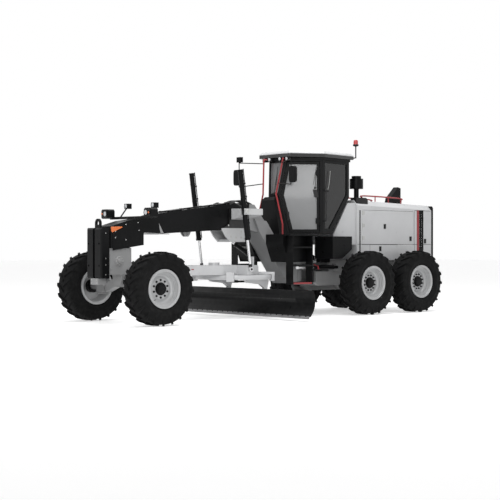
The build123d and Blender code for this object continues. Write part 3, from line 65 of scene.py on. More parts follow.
# ------------------------------------------------------------ materials
def finish_material(name, color, rough=0.4, metallic=0.0, spread=0.08, grime=0.10, dust=(0.30, 0.29, 0.27),
                    bump=0.10, grain=90.0, patch=2.5, coat=0.0, low_dust=0.25, gleam=0.5, zone=None):
    """A painted, cast or moulded surface: cloudy colour, dust low down, uneven gloss and a fine grain."""
    made = bpy.data.materials.new(name)
    made.use_nodes = True
    nodes, links = made.node_tree.nodes, made.node_tree.links
    shader = nodes["Principled BSDF"]
    shader.inputs["Metallic"].default_value = metallic
    shader.inputs["Roughness"].default_value = rough
    shader.inputs["Coat Weight"].default_value = coat
    shader.inputs["Specular IOR Level"].default_value = gleam
    shader.inputs["Base Color"].default_value = (*color, 1)
    place = nodes.new("ShaderNodeTexCoord")

    def noise(scale, detail, offset):
        mapped = nodes.new("ShaderNodeMapping")
        mapped.inputs["Location"].default_value = (offset, offset * 0.7, -offset)
        links.new(place.outputs["Object"], mapped.inputs["Vector"])
        made_noise = nodes.new("ShaderNodeTexNoise")
        made_noise.inputs["Scale"].default_value = scale
        made_noise.inputs["Detail"].default_value = detail
        links.new(mapped.outputs["Vector"], made_noise.inputs["Vector"])
        return made_noise.outputs["Fac"]

    def ranged(value, low, high, to_low, to_high):
        node = nodes.new("ShaderNodeMapRange")
        for socket, number in (
            ("From Min", low), ("From Max", high), ("To Min", to_low), ("To Max", to_high)
        ):
            node.inputs[socket].default_value = number
        links.new(value, node.inputs["Value"])
        return node.outputs["Result"]

    def product(a, b):
        node = nodes.new("ShaderNodeMath")
        node.operation = "MULTIPLY"
        links.new(a, node.inputs[0])
        links.new(b, node.inputs[1])
        return node.outputs["Value"]

    def mixed(factor, a, b):
        node = nodes.new("ShaderNodeMix")
        node.data_type = "RGBA"
        links.new(factor, node.inputs["Factor"])
        for socket, value in (("A", a), ("B", b)):
            target = [s for s in node.inputs if s.name == socket and s.type == "RGBA"][0]
            if isinstance(value, tuple):
                target.default_value = (*value, 1)
            else:
                links.new(value, target)
        return [s for s in node.outputs if s.type == "RGBA"][0]

    dark = tuple(c * (1 - spread) for c in color)
    light = tuple(min(1.0, c * (1 + spread)) for c in color)
    tone = mixed(ranged(noise(patch, 5, 1.3), 0.35, 0.65, 0, 1), dark, light)
    height = nodes.new("ShaderNodeSeparateXYZ")
    links.new(place.outputs["Object"], height.inputs["Vector"])
    if zone:
        other, limits = zone
        inside = None
        for axis, least, most in limits:
            way = nodes.new("ShaderNodeMath")
            way.operation = "ABSOLUTE" if axis == "Y" else "ADD"
            way.inputs[1].default_value = 0.0
            links.new(height.outputs[axis], way.inputs[0])
            for edge, a, b in ((least, 0.0, 1.0), (most, 1.0, 0.0)):
                step = ranged(way.outputs["Value"], edge - 0.002, edge + 0.002, a, b)
                inside = product(inside, step) if inside else step
        tone = mixed(inside, tone, other)
    low = ranged(height.outputs["Z"], 0.0, 1.3, 1.0, low_dust)
    specks = ranged(noise(patch * 5, 8, 4.1), 0.45, 0.75, 0.0, 2 * grime)
    settled = product(specks, low)
    links.new(mixed(settled, tone, dust), shader.inputs["Base Color"])
    if bump:
        relief = nodes.new("ShaderNodeBump")
        relief.inputs["Strength"].default_value = bump
        relief.inputs["Distance"].default_value = 0.002
        links.new(noise(grain, 3, 9.0), relief.inputs["Height"])
        links.new(relief.outputs["Normal"], shader.inputs["Normal"])
    links.new(
        ranged(noise(patch * 3, 6, 6.2), 0.3, 0.7, max(0.03, rough - 0.07), min(1.0, rough + 0.09)),
        shader.inputs["Roughness"]
    )
    return made


deep_black, soft_grey = (0.0050, 0.0052, 0.0056), (0.27, 0.272, 0.276)
black_finish = {
    "rough": 0.34, "spread": 0.16, "grime": 0.03, "gleam": 0.10, "dust": (0.10, 0.098, 0.093)
}
looks = {
    "black_paint": finish_material("black_paint", deep_black, **black_finish),
    "white_paint": finish_material(
        "white_paint", (0.55, 0.555, 0.565), 0.34, spread=0.03, grime=0.05, coat=0.25,
        dust=(0.40, 0.39, 0.37)
    ),
    "grey_paint": finish_material("grey_paint", (0.30, 0.302, 0.305), 0.42, spread=0.07, grime=0.10),
    "red_paint": finish_material(
        "red_paint", (0.27, 0.004, 0.009), 0.36, spread=0.10, grime=0.04, coat=0.3
    ),
    "rim_paint": finish_material(
        "rim_paint", (0.42, 0.425, 0.43), 0.38, metallic=0.25, spread=0.05, grime=0.10
    ),
    "tyre": finish_material(
        "tyre", (0.0042, 0.0043, 0.0045), 0.75, gleam=0.12, spread=0.25, grime=0.05, bump=0.35,
        grain=220.0, dust=(0.09, 0.088, 0.085)
    ),
    "chrome": finish_material(
        "chrome", (0.70, 0.70, 0.71), 0.10, metallic=1.0, spread=0.02, grime=0.02, bump=0.02
    ),
    "cutting_steel": finish_material(
        "cutting_steel", (0.20, 0.20, 0.205), 0.42, metallic=0.6, spread=0.15, grime=0.12, bump=0.25,
        grain=60.0
    ),
    "beacon_lens": finish_material(
        "beacon_lens", (0.42, 0.010, 0.012), 0.18, spread=0.05, grime=0.02, coat=0.6
    ),
    "seat_fabric": finish_material(
        "seat_fabric", (0.035, 0.035, 0.038), 0.90, gleam=0.2, spread=0.2, grime=0.05, bump=0.5,
        grain=420.0
    ),
    "cast_engine": finish_material(
        "cast_engine", (0.055, 0.055, 0.057), 0.65, spread=0.2, grime=0.2, bump=0.4
    ),
}
plastic = finish_material(
    "black_plastic", (0.008, 0.008, 0.0085), 0.55, gleam=0.3, spread=0.2, grime=0.05, bump=0.25,
    grain=160.0
)
hose_rubber = finish_material(
    "hose_rubber", (0.010, 0.010, 0.0105), 0.6, spread=0.2, grime=0.06, bump=0.3, grain=200.0
)
zinc = finish_material("zinc_bolts", (0.48, 0.48, 0.47), 0.36, metallic=0.9, spread=0.08, grime=0.15)
amber = finish_material("amber_lens", (0.75, 0.16, 0.02), 0.2, spread=0.06, grime=0.02, coat=0.5)
lamp_glass = finish_material(
    "lamp_glass", (0.62, 0.64, 0.66), 0.12, metallic=0.35, spread=0.10, grime=0.03, bump=0.25,
    grain=55.0, coat=0.6
)
mirror_glass = finish_material(
    "mirror_glass", (0.72, 0.74, 0.76), 0.05, metallic=1.0, spread=0.01, grime=0.01, bump=0
)


def glass_material(name, tint, clear, painted_shade_behind=None):
    """Tinted safety glass: see-through at a glance, reflecting at the edges, with faint dust; behind a given X its
    colour is painted near-black as shade of the cab inside.
    """
    made = bpy.data.materials.new(name)
    made.use_nodes = True
    nodes, links = made.node_tree.nodes, made.node_tree.links
    shader = nodes["Principled BSDF"]
    shader.inputs["Base Color"].default_value = (*tint, 1)
    shader.inputs["Metallic"].default_value = 0.0
    shader.inputs["Roughness"].default_value = 0.06
    place = nodes.new("ShaderNodeTexCoord")
    haze = nodes.new("ShaderNodeTexNoise")
    haze.inputs["Scale"].default_value = 4.0
    haze.inputs["Detail"].default_value = 6.0
    links.new(place.outputs["Object"], haze.inputs["Vector"])
    spread = nodes.new("ShaderNodeMapRange")
    spread.inputs["To Min"].default_value = clear - 0.05
    spread.inputs["To Max"].default_value = clear + 0.05
    links.new(haze.outputs["Fac"], spread.inputs["Value"])
    shader.inputs["Alpha"].default_value = clear
    links.new(spread.outputs["Result"], shader.inputs["Alpha"])
    # painted shade: behind the given X the glass colour turns near-black, standing in for the dark cab inside
    if painted_shade_behind is not None:
        where = nodes.new("ShaderNodeSeparateXYZ")
        links.new(place.outputs["Object"], where.inputs["Vector"])
        ramp = nodes.new("ShaderNodeMapRange")
        ramp.inputs["From Min"].default_value = painted_shade_behind - 0.002
        ramp.inputs["From Max"].default_value = painted_shade_behind + 0.002
        links.new(where.outputs["X"], ramp.inputs["Value"])
        blend = nodes.new("ShaderNodeMix")
        blend.data_type = "RGBA"
        links.new(ramp.outputs["Result"], blend.inputs["Factor"])
        dark, pale = [i for i in blend.inputs if i.type == "RGBA"]
        dark.default_value, pale.default_value = (0.006, 0.0062, 0.0065, 1), (*tint, 1)
        links.new([o for o in blend.outputs if o.type == "RGBA"][0], shader.inputs["Base Color"])
    return made


looks["glass"] = glass_material("glass", (0.30, 0.305, 0.31), 0.80)


# ------------------------------------------------------------ mesh helpers
def place_object(name, data):
    """A new object in the scene that shows a mesh, a lamp or a camera."""
    placed = bpy.data.objects.new(name, data)
    bpy.context.scene.collection.objects.link(placed)
    return placed


def spoke_at(turn):
    """A unit vector in the X-Z plane, turned up from +X."""
    return Vector((math.cos(turn), 0, math.sin(turn)))


class Shape:
    """Collects solids as vertices and faces, and makes one mesh piece of them."""

    def __init__(self):
        self.points, self.faces = [], []

    def add(self, points, faces):
        base = len(self.points)
        self.points += [Vector(p) for p in points]
        self.faces += [[base + i for i in face] for face in faces]
        return self

    def box(self, x, y, z):
        (x0, x1), (y0, y1), (z0, z1) = sorted(x), sorted(y), sorted(z)
        points = [(a, b, c) for c in (z0, z1) for a, b in ((x0, y0), (x1, y0), (x1, y1), (x0, y1))]
        return self.add(
            points, [[3, 2, 1, 0], [4, 5, 6, 7], [0, 1, 5, 4], [1, 2, 6, 5], [2, 3, 7, 6], [3, 0, 4, 7]]
        )

    def prism(self, outline, origin, across, up, depth):
        """A flat outline (u, v) set at origin along across and up, and pushed by the vector depth."""
        across, up, depth, origin = Vector(across), Vector(up), Vector(depth), Vector(origin)
        low = [origin + across * u + up * v for u, v in outline]
        count = len(low)
        faces = [list(range(count))[::-1], list(range(count, 2 * count))]
        faces += [[i, (i + 1) % count, count + (i + 1) % count, count + i] for i in range(count)]
        return self.add(low + [p + depth for p in low], faces)

    def plate(self, outline, origin, depth):
        """A prism whose outline (u, v) lies along X and Z."""
        return self.prism(outline, origin, (1, 0, 0), (0, 0, 1), depth)

    def lathe(self, origin, axis, profile, sides=32, closed=False, first_turn=0.0):
        """Turns a profile of (distance along the axis, radius) about the axis."""
        axis = Vector(axis).normalized()
        side = axis.orthogonal().normalized()
        if abs(axis.y) > 0.9:
            side = Vector((1, 0, 0))
        other = axis.cross(side)
        origin = Vector(origin)
        points, faces = [], []
        for along, radius in profile:
            for k in range(sides):
                turn = 2 * math.pi * k / sides + first_turn
                spoke = side * math.cos(turn) + other * math.sin(turn)
                points.append(origin + axis * along + spoke * radius)
        rows = len(profile)
        for row in range(rows - 1 + int(closed)):
            a, b = row * sides, ((row + 1) % rows) * sides
            faces += [[a + k, a + (k + 1) % sides, b + (k + 1) % sides, b + k] for k in range(sides)]
        if not closed:
            faces.append(list(range(sides))[::-1])
            faces.append([(rows - 1) * sides + k for k in range(sides)])
        return self.add(points, faces)

    def tube(self, path, radius, sides=10):
        """A round bar along a path of points, with square ends."""
        path = [Vector(p) for p in path]
        points, faces = [], []
        normal = None
        for i, here in enumerate(path):
            ahead = (path[min(i + 1, len(path) - 1)] - here).normalized() if i + 1 < len(path) else None
            behind = (here - path[i - 1]).normalized() if i else None
            along = ((ahead or behind) + (behind or ahead)).normalized()
            normal = along.orthogonal().normalized() if normal is None else (
                normal - along * normal.dot(along)
            ).normalized()
            other = along.cross(normal)
            stretch = 1.0
            if ahead and behind:
                stretch = 1 / max(0.6, along.dot(ahead))
            for k in range(sides):
                turn = 2 * math.pi * k / sides
                points.append(
                    here + (normal * math.cos(turn) + other * math.sin(turn)) * radius * stretch
                )
        for row in range(len(path) - 1):
            a, b = row * sides, (row + 1) * sides
            faces += [[a + k, a + (k + 1) % sides, b + (k + 1) % sides, b + k] for k in range(sides)]
        faces.append(list(range(sides))[::-1])
        faces.append([(len(path) - 1) * sides + k for k in range(sides)])
        return self.add(points, faces)

    def bent(self, points, radius, steps=5, sides=8):
        """A hose or a pipe that bends smoothly through the points."""
        return self.tube(smooth_path(points, steps), radius, sides)

    def bolt(self, at, axis, radius, height=None):
        """A hexagon head on a washer."""
        height = height or radius * 0.8
        turn = random.uniform(0, 1)
        self.lathe(at, axis, [(0, radius * 1.45), (radius * 0.22, radius * 1.45)], 14)
        return self.lathe(
            at, axis, [(radius * 0.22, radius), (height, radius), (height * 1.18, radius * 0.8)], 6,
            first_turn=turn
        )

    def make(self, name, body, slot=None, look=None, bevel=0.0, angle=35.0, segments=2):
        mesh = bpy.data.meshes.new(name)
        mesh.from_pydata([tuple(p) for p in self.points], [], self.faces)
        mesh.update()
        piece = place_object(name, mesh)
        mesh.materials.append(look or looks[slot])
        mesh.polygons.foreach_set("use_smooth", [True] * len(mesh.polygons))
        mesh.set_sharp_from_angle(angle=math.radians(angle))
        if bevel:
            soften(piece, bevel, segments)
        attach(piece, body)
        return piece


def soften(piece, width, segments=2, angle=38.0):
    """Rounds a piece's sharp edges a little, as pressed and welded plate has."""
    rounded = piece.modifiers.new("rounded", "BEVEL")
    rounded.width = width
    rounded.segments = segments
    rounded.limit_method = "ANGLE"
    rounded.angle_limit = math.radians(angle)
    rounded.harden_normals = True
    rounded.use_clamp_overlap = True


def smooth_path(points, steps=6):
    """A Catmull-Rom path through the points."""
    points = [Vector(p) for p in points]
    padded = [points[0] * 2 - points[1], *points, points[-1] * 2 - points[-2]]
    path = []
    for a, b, c, d in zip(padded, padded[1:], padded[2:], padded[3:]):
        for k in range(steps):
            t = k / steps
            path.append(0.5 * (2 * b + (c - a) * t + (
                2 * a - 5 * b + 4 * c - d
            ) * t * t + (3 * b - a - 3 * c + d) * t ** 3))
    return [*path, points[-1]]


# ------------------------------------------------------------ CAD nodes
# the neck is black and its drop behind the saddle grey
special = {
    # the cab glass gets painted shade, near-black behind the door's rear corner
    "cab_glass": glass_material("glass_cab", (0.16, 0.163, 0.167), 0.88, painted_shade_behind=fore(-4.45)),
    "main_frame": finish_material(
        "black_paint_neck", deep_black, zone=(soft_grey, [("X", -9, fore(-2.98))]), **black_finish
    ),
    "cab_roof": finish_material(
        "white_paint_roof", (0.56, 0.565, 0.575), 0.34, spread=0.03, grime=0.05, coat=0.25,
        zone=(deep_black, [("Z", -9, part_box("cab_roof")[1].z - 0.062)])
    ),
    "lift_saddle": finish_material(
        "white_paint_saddle", (0.50, 0.505, 0.51), 0.38, spread=0.05, grime=0.10,
        zone=(deep_black, [("Z", 1.805, 2.60), ("Y", -1, 0.24)])
    ),
}
node_slot = {s["node"]: s["material_slot"] for s in record["subparts"]}
welded = {
    "rear_frame": 0.006, "tandem_axle": 0.012, "hood": 0.012, "hood_door_left": 0.006,
    "hood_door_right": 0.006, "grilles": 0.004, "platforms": 0.006, "main_frame": 0.006,
    "bolster": 0.010, "push_block": 0.010, "front_axle": 0.008, "headlamps": 0.006, "lift_saddle": 0.006,
    "cab_frame": 0.006, "cab_roof": 0.018, "cab_base": 0.005, "mirrors": 0.006, "drawbar": 0.006,
    "circle": 0.004, "blade_carriage": 0.005, "blade": 0.004, "door_left": 0.004, "door_right": 0.004,
    "engine": 0.02, "lean_fork_left": 0.006, "lean_fork_right": 0.006, "knuckle_left": 0.006,
    "knuckle_right": 0.006, "cutting_edge": 0.002
}
for node, thing in frame["nodes"].items():
    thing.data.materials.clear()
    thing.data.materials.append(special.get(node) or looks[node_slot[node]])
    if node in welded:
        joined = thing.modifiers.new("joined", "WELD")
        joined.merge_threshold = 0.00005
        soften(thing, welded[node])


# ------------------------------------------------------------ wheels
lug_pairs = 20


def tyre_piece(name, centre, side, body):
    """A grader tyre: round carcass, ribbed side walls and slanted lugs that run over the shoulders."""
    low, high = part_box(name)
    radius, half = (high.x - low.x) / 2, (high.y - low.y) / 2
    tread, bead = radius - 0.030, 0.3195
    out = Vector((0, side, 0))
    shape = Shape()
    wall = [
        (0.166, bead), (0.172, 0.345), (0.158, 0.3625), (half * 0.86, 0.385), (half * 0.95, 0.43),
        (half * 0.985, 0.480), (half * 0.992, 0.484), (half * 0.992, 0.492), (half * 0.985, 0.496),
        (half * 0.975, 0.545), (half * 0.945, 0.592), (half * 0.89, tread - 0.020),
        (half * 0.78, tread - 0.004), (half * 0.45, tread + 0.001), (0.0, tread + 0.003)
    ]
    profile = [(-t, r) for t, r in wall] + [(t, r) for t, r in reversed(wall[:-1])]
    shape.lathe(centre, out, profile, 80, closed=True)
    for hand in (1, -1):
        for k in range(lug_pairs):
            turn = 2 * math.pi * (k + (0.5 if hand < 0 else 0)) / lug_pairs

            def on(t, swing, r):
                a = turn + swing
                return centre + out * (hand * t) + Vector((math.cos(a) * r, 0, math.sin(a) * r))

            stations = [
                (0.004, -0.150, tread - 0.008, radius - 0.0010, 0.040),
                (half * 0.42, -0.055, tread - 0.008, radius - 0.0006, 0.048),
                (half * 0.80, 0.040, tread - 0.014, radius - 0.0035, 0.054),
                (half * 0.955, 0.072, tread - 0.045, radius - 0.020, 0.050),
                (half * 0.990, 0.082, tread - 0.095, radius - 0.085, 0.034)
            ]
            points, faces = [], []
            for t, swing, r_low, r_high, width in stations:
                grip = width / radius
                points += [on(t, swing - grip * 0.62, r_low), on(t, swing - grip * 0.44, r_high),
                           on(t, swing + grip * 0.44, r_high), on(t, swing + grip * 0.62, r_low)]
            for row in range(len(stations) - 1):
                a, b = row * 4, row * 4 + 4
                faces += [
                    [a, a + 1, b + 1, b], [a + 1, a + 2, b + 2, b + 1], [a + 2, a + 3, b + 3, b + 2]
                ]
            faces += [[0, 3, 2, 1], [len(points) - 4 + i for i in (0, 1, 2, 3)]]
            if hand * side > 0:
                faces = [face[::-1] for face in faces]
            shape.add(points, faces)
    piece = shape.make(f"{name}_tread", body, slot="tyre", angle=32)
    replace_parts(piece, name)


def rim_piece(name, centre, side, body, steer):
    """A three-piece rim: rolled flange, lock ring, stepped well, dished disc with nuts, and a hub."""
    out = Vector((0, side, 0))
    dish = 0.045
    shape = Shape()
    shape.lathe(centre, out, [
        (-0.1895, 0.318), (-0.1895, 0.356), (-0.184, 0.3585), (-0.166, 0.3585), (-0.160, 0.352),
        (-0.160, 0.318), (0.160, 0.318), (0.160, 0.352), (0.166, 0.3585), (0.184, 0.3585),
        (0.1895, 0.354), (0.1895, 0.346), (0.184, 0.343), (0.180, 0.336), (0.180, 0.326), (0.186, 0.322),
        (0.186, 0.312), (0.178, 0.307), (0.150, 0.303), (0.146, 0.296), (0.118, 0.294), (0.112, 0.284),
        (0.080, 0.281), (0.074, 0.272), (dish + 0.014, 0.268), (dish + 0.002, 0.256),
        (dish - 0.004, 0.235), (dish + 0.004, 0.205), (dish + 0.014, 0.192), (dish + 0.014, 0.10),
        (dish - 0.012, 0.10), (dish - 0.022, 0.26), (-0.10, 0.288), (-0.17, 0.300),
    ], 72, closed=True)
    piece = shape.make(f"{name}_dish", body, slot="rim_paint", angle=24)
    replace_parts(piece, name)
    hub = Shape()
    inner = -0.058
    hub.lathe(
        centre, out, [(inner, 0.066), (inner, 0.128), (dish - 0.02, 0.128), (dish - 0.02, 0.066)], 36,
        closed=True
    )
    hub.lathe(centre, out, [
        (dish, 0.118), (dish + 0.020, 0.118), (dish + 0.024, 0.104), (dish + 0.052, 0.102),
        (dish + 0.058, 0.098), (dish + 0.060, 0.084), (dish + 0.066, 0.082), (dish + 0.070, 0.040),
        (dish + 0.074, 0.036), (dish + 0.074, 0.002),
    ], 36)
    cap_bolts = 8 if steer else 10
    for k in range(cap_bolts):
        turn = 2 * math.pi * k / cap_bolts
        spoke = spoke_at(turn)
        hub.bolt(centre + out * (dish + 0.058) + spoke * (0.092 if steer else 0.094), out, 0.0065, 0.008)
    hub.make(f"{name}_hub", body, slot="black_paint", angle=28)
    nuts = Shape()
    nut_count = 10 if steer else 12
    for k in range(nut_count):
        turn = 2 * math.pi * (k + 0.5) / nut_count
        spoke = spoke_at(turn)
        at = centre + out * (dish + 0.014) + spoke * 0.158
        nuts.bolt(at, out, 0.015, 0.020)
        nuts.lathe(at + out * 0.02, out, [(0, 0.0085), (0.012, 0.0085), (0.014, 0.006)], 10)
    stem = spoke_at(-0.9)
    nuts.tube([
        centre + out * 0.085 + stem * 0.272, centre + out * 0.10 + stem * 0.250,
        centre + out * 0.125 + stem * 0.246
    ], 0.006, 8)
    nuts.make(f"{name}_nuts", body, look=plastic, angle=30)


for axle in ("front", "mid", "rear"):
    for side, side_name in ((1, "left"), (-1, "right")):
        place = f"{axle}_{side_name}"
        centre = joint_at[f"wheel_{place}_spin"]
        tyre_piece(f"tyre_{place}", centre, side, f"wheel_{place}")
        rim_piece(f"rim_{place}", centre, side, f"wheel_{place}", axle == "front")


def round_lamp(shape_body, shape_lens, at, axis, radius, depth):
    """A bezel on a lamp's face with a domed lens in it."""
    axis = Vector(axis).normalized()
    shape_body.lathe(at, axis, [
        (-depth, radius * 0.9), (0, radius * 1.12), (0.012, radius * 1.12), (0.016, radius * 1.06),
        (0.016, radius), (0.004, radius * 0.98), (0.003, radius * 0.5), (0.003, 0.002)
    ], 28)
    shape_lens.lathe(at, axis, [
        (0.0035, radius * 0.975), (0.010, radius * 0.93), (0.016, radius * 0.75), (0.020, radius * 0.45),
        (0.021, 0.002)
    ], 28)


# ------------------------------------------------------------ nose and lamps
nose_half = 0.200
lens, bezel, amber_lens = Shape(), Shape(), Shape()
for side, side_name in pair:
    face = fore(-0.035)
    lamp_y = side * 0.690
    at = Vector((face, lamp_y, 2.058))
    bezel.box((face - 0.002, face + 0.008), (lamp_y - 0.092, lamp_y + 0.092), (1.988, 2.132))
    round_lamp(bezel, lens, at + Vector((0.008, side * -0.034, 0.004)), (1, 0, 0), 0.050, 0.004)
    round_lamp(bezel, amber_lens, at + Vector((0.008, side * 0.058, 0.004)), (1, 0, 0), 0.024, 0.004)
    work_y = side * 0.430
    work = Vector((fore(-0.355), work_y, 2.210))
    round_lamp(bezel, lens, work, (1, 0, 0), 0.044, 0.004)
    for k in range(4):
        bezel.box(
            (fore(-0.452), fore(-0.445)), (work_y - 0.05, work_y + 0.05),
            (2.172 + k * 0.021, 2.182 + k * 0.021)
        )
    amber_lens.plate(
        [(0.0, 0.0), (-0.255, 0.008), (-0.255, -0.012), (-0.030, -0.105), (-0.004, -0.07)],
        (fore(0.436), side * (nose_half - 0.002), 1.800), (0, side * 0.010, 0)
    )
    bezel.plate([(0.008, 0.008), (-0.27, 0.016), (-0.27, -0.02), (-0.03, -0.117), (0.008, -0.09)],
                (fore(0.432), side * (nose_half - 0.002), 1.800), (0, side * 0.006, 0))
bezel.make("lamp_bezels", "front_frame", look=plastic, bevel=0.0015)
lens.make("lamp_lenses", "front_frame", look=lamp_glass)
amber_lens.make("side_markers", "front_frame", look=amber, bevel=0.002)

bright, dark, grey = Shape(), Shape(), Shape()
for side, side_name in pair:
    out = (0, side, 0)
    for x, z in (
        (0.335, 1.713), (0.335, 1.599), (0.10, 1.845), (0.10, 1.560), (-0.18, 1.885), (-0.20, 1.74)
    ):
        bright.bolt((fore(x), side * nose_half, z), out, 0.011)
    # the nose's cover plate, drawn as one flat plate
    dark.plate([(-0.31, -0.235), (0.395, -0.335), (0.395, 0.085), (0.045, 0.185), (-0.31, 0.232)],
               (fore(0.0), side * nose_half, 1.700), (0, side * 0.004, 0))
    grey.plate([(-0.32, 0.0), (-0.32, 0.016), (-0.925, 0.018), (-0.925, 0.002)],
               (fore(0), side * 0.150, 1.667), (0, side * 0.040, 0))
    grey.plate([(-0.655, 0.205), (-0.690, 0.205), (-0.800, 0.018), (-0.730, 0.018)],
               (fore(0), side * 0.170, 1.675), (0, side * 0.005, 0))
    # bolt heads under the neck, whose lower face rises towards the cab
    for k in range(0, 14, 2):
        x = -0.98 - k * 0.095
        low_z = 1.700 + (-x - 0.786) * 0.0545
        dark.bolt((fore(x), side * 0.155, low_z - 0.008), (0, 0, -1), 0.009)
    # bolts of the bolster and its round boss
    boss_at = Vector((fore(0.235), side * 0.175, 1.165))
    grey.lathe(boss_at, out, [
        (-0.01, 0.092), (0.020, 0.092), (0.026, 0.084), (0.026, 0.050), (0.060, 0.048), (0.064, 0.040),
        (0.064, 0.002)
    ], 36)
    for k in range(8):
        turn = math.tau * k / 8
        bright.bolt(
            boss_at + Vector((math.cos(turn) * 0.072, side * 0.026, math.sin(turn) * 0.072)), out, 0.008
        )
    for x, z in ((0.03, 1.36), (0.19, 1.36), (0.34, 1.36), (0.40, 1.02)):
        grey.bolt((fore(x), side * 0.175, z), out, 0.013)
# top of the neck: two hatches, then pipes with clamps
for x0, x1, half in ((-2.16, -2.43, 0.095), (-1.05, -1.32, 0.08)):
    z0 = 2.082 + (-x0 - 0.80) * 0.1255
    z1 = 2.082 + (-x1 - 0.80) * 0.1255
    dark.plate(
        [(fore(x0), z0 - 0.01), (fore(x1), z1 - 0.01), (fore(x1), z1 + 0.022), (fore(x0), z0 + 0.022)],
        (0, -half, 0), (0, 2 * half, 0)
    )
    for side in (1, -1):
        for x, z in ((x0 - 0.03, z0), (x1 + 0.03, z1)):
            bright.bolt((fore(x), side * (half - 0.02), z + 0.022), (0.12, 0, 1), 0.007)


def neck_top(x):
    """Height of the neck's top plate."""
    rows = [(-0.64, 2.054), (-0.80, 2.082), (-1.65, 2.189), (-2.705, 2.315)]
    for (xa, za), (xb, zb) in zip(rows, rows[1:]):
        if x >= xb:
            return za + (zb - za) * (x - xa) / (xb - xa)
    return rows[-1][1]


pipes = Shape()
for y in (0.118, 0.142, -0.118, -0.142):
    run = [(fore(x), y, neck_top(x) + 0.014) for x in (-0.70, -0.80, -1.2, -1.65, -2.1, -2.62)]
    run = [(run[0][0] + 0.04, y, run[0][2] - 0.012), *run]
    pipes.tube(run, 0.0075, 8)
    for x in (-0.95, -1.45, -1.95, -2.45):
        dark.box(
            (fore(x) - 0.016, fore(x) + 0.016), (y - 0.013, y + 0.013),
            (neck_top(x), neck_top(x) + 0.027)
        )
pipes.make("neck_pipes", "front_frame", slot="black_paint")

# eye bracket under the neck, pads of the push block, cap on the loop's foot
for side in (1, -1):
    grey.plate(
        [(-0.09, 0.05), (0.10, 0.05), (0.06, -0.012), (0.02, -0.045), (-0.03, -0.045), (-0.06, -0.012)],
        (fore(-1.468), side * 0.045 - 0.009, 1.675), (0, 0.018, 0)
    )
grey.lathe((fore(-1.468), -0.07, 1.655), (0, 1, 0), [(0, 0.016), (0.14, 0.016)], 16)
face_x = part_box("push_block")[1].x
for side in (1, -1):
    for z in (0.93, 1.29, 1.66):
        dark.lathe(
            (face_x - 0.002, side * 0.10, z), (1, 0, 0),
            [(-0.002, 0.012), (0.0015, 0.012), (0.002, 0.002)], 12
        )
    dark.box((face_x - 0.17, face_x - 0.03), (side * 0.2385, side * 0.2425), (0.90, 1.12))
    dark.box((face_x - 0.17, face_x - 0.03), (side * 0.2385, side * 0.2425), (1.20, 1.70))
    for z in (0.92, 1.10, 1.22, 1.68):
        bright.bolt((face_x - 0.10, side * 0.2425, z), (0, side, 0), 0.007)
grey.box((face_x - 0.19, face_x - 0.01), (-0.12, 0.12), (0.735, 0.851))
for y in (-0.085, 0.085):
    for z in (0.765, 0.82):
        bright.bolt((face_x - 0.01, y, z), (1, 0, 0), 0.009)
bright.make("front_bolts", "front_frame", look=zinc, angle=30)
dark.make("front_plates", "front_frame", slot="black_paint", bevel=0.002)
grey.make("front_castings", "front_frame", slot="grey_paint", bevel=0.003)

# ------------------------------------------------------------ cab
corner = Vector((fore(-4.500), 0.757))
door_along = Vector((0.692, -0.598)).normalized()
door_out = Vector((0.598, 0.692)).normalized()
cab_black, cab_lens, cab_bright = Shape(), Shape(), Shape()


def on_door(side, run, out, z):
    """A point run metres along the door wall from its rear corner and out from its face."""
    flat = corner + door_along * run + door_out * out
    return Vector((flat.x, side * flat.y, z))


def door_box(shape, side, runs, outs, zs):
    a = on_door(side, runs[0], outs[0], zs[0])
    across = on_door(side, runs[1], outs[0], zs[0]) - a
    depth = on_door(side, runs[0], outs[1], zs[0]) - a
    up = Vector((0, 0, zs[1] - zs[0]))
    shape.prism([(0, 0), (1, 0), (1, 1), (0, 1)], a, across, up, depth)


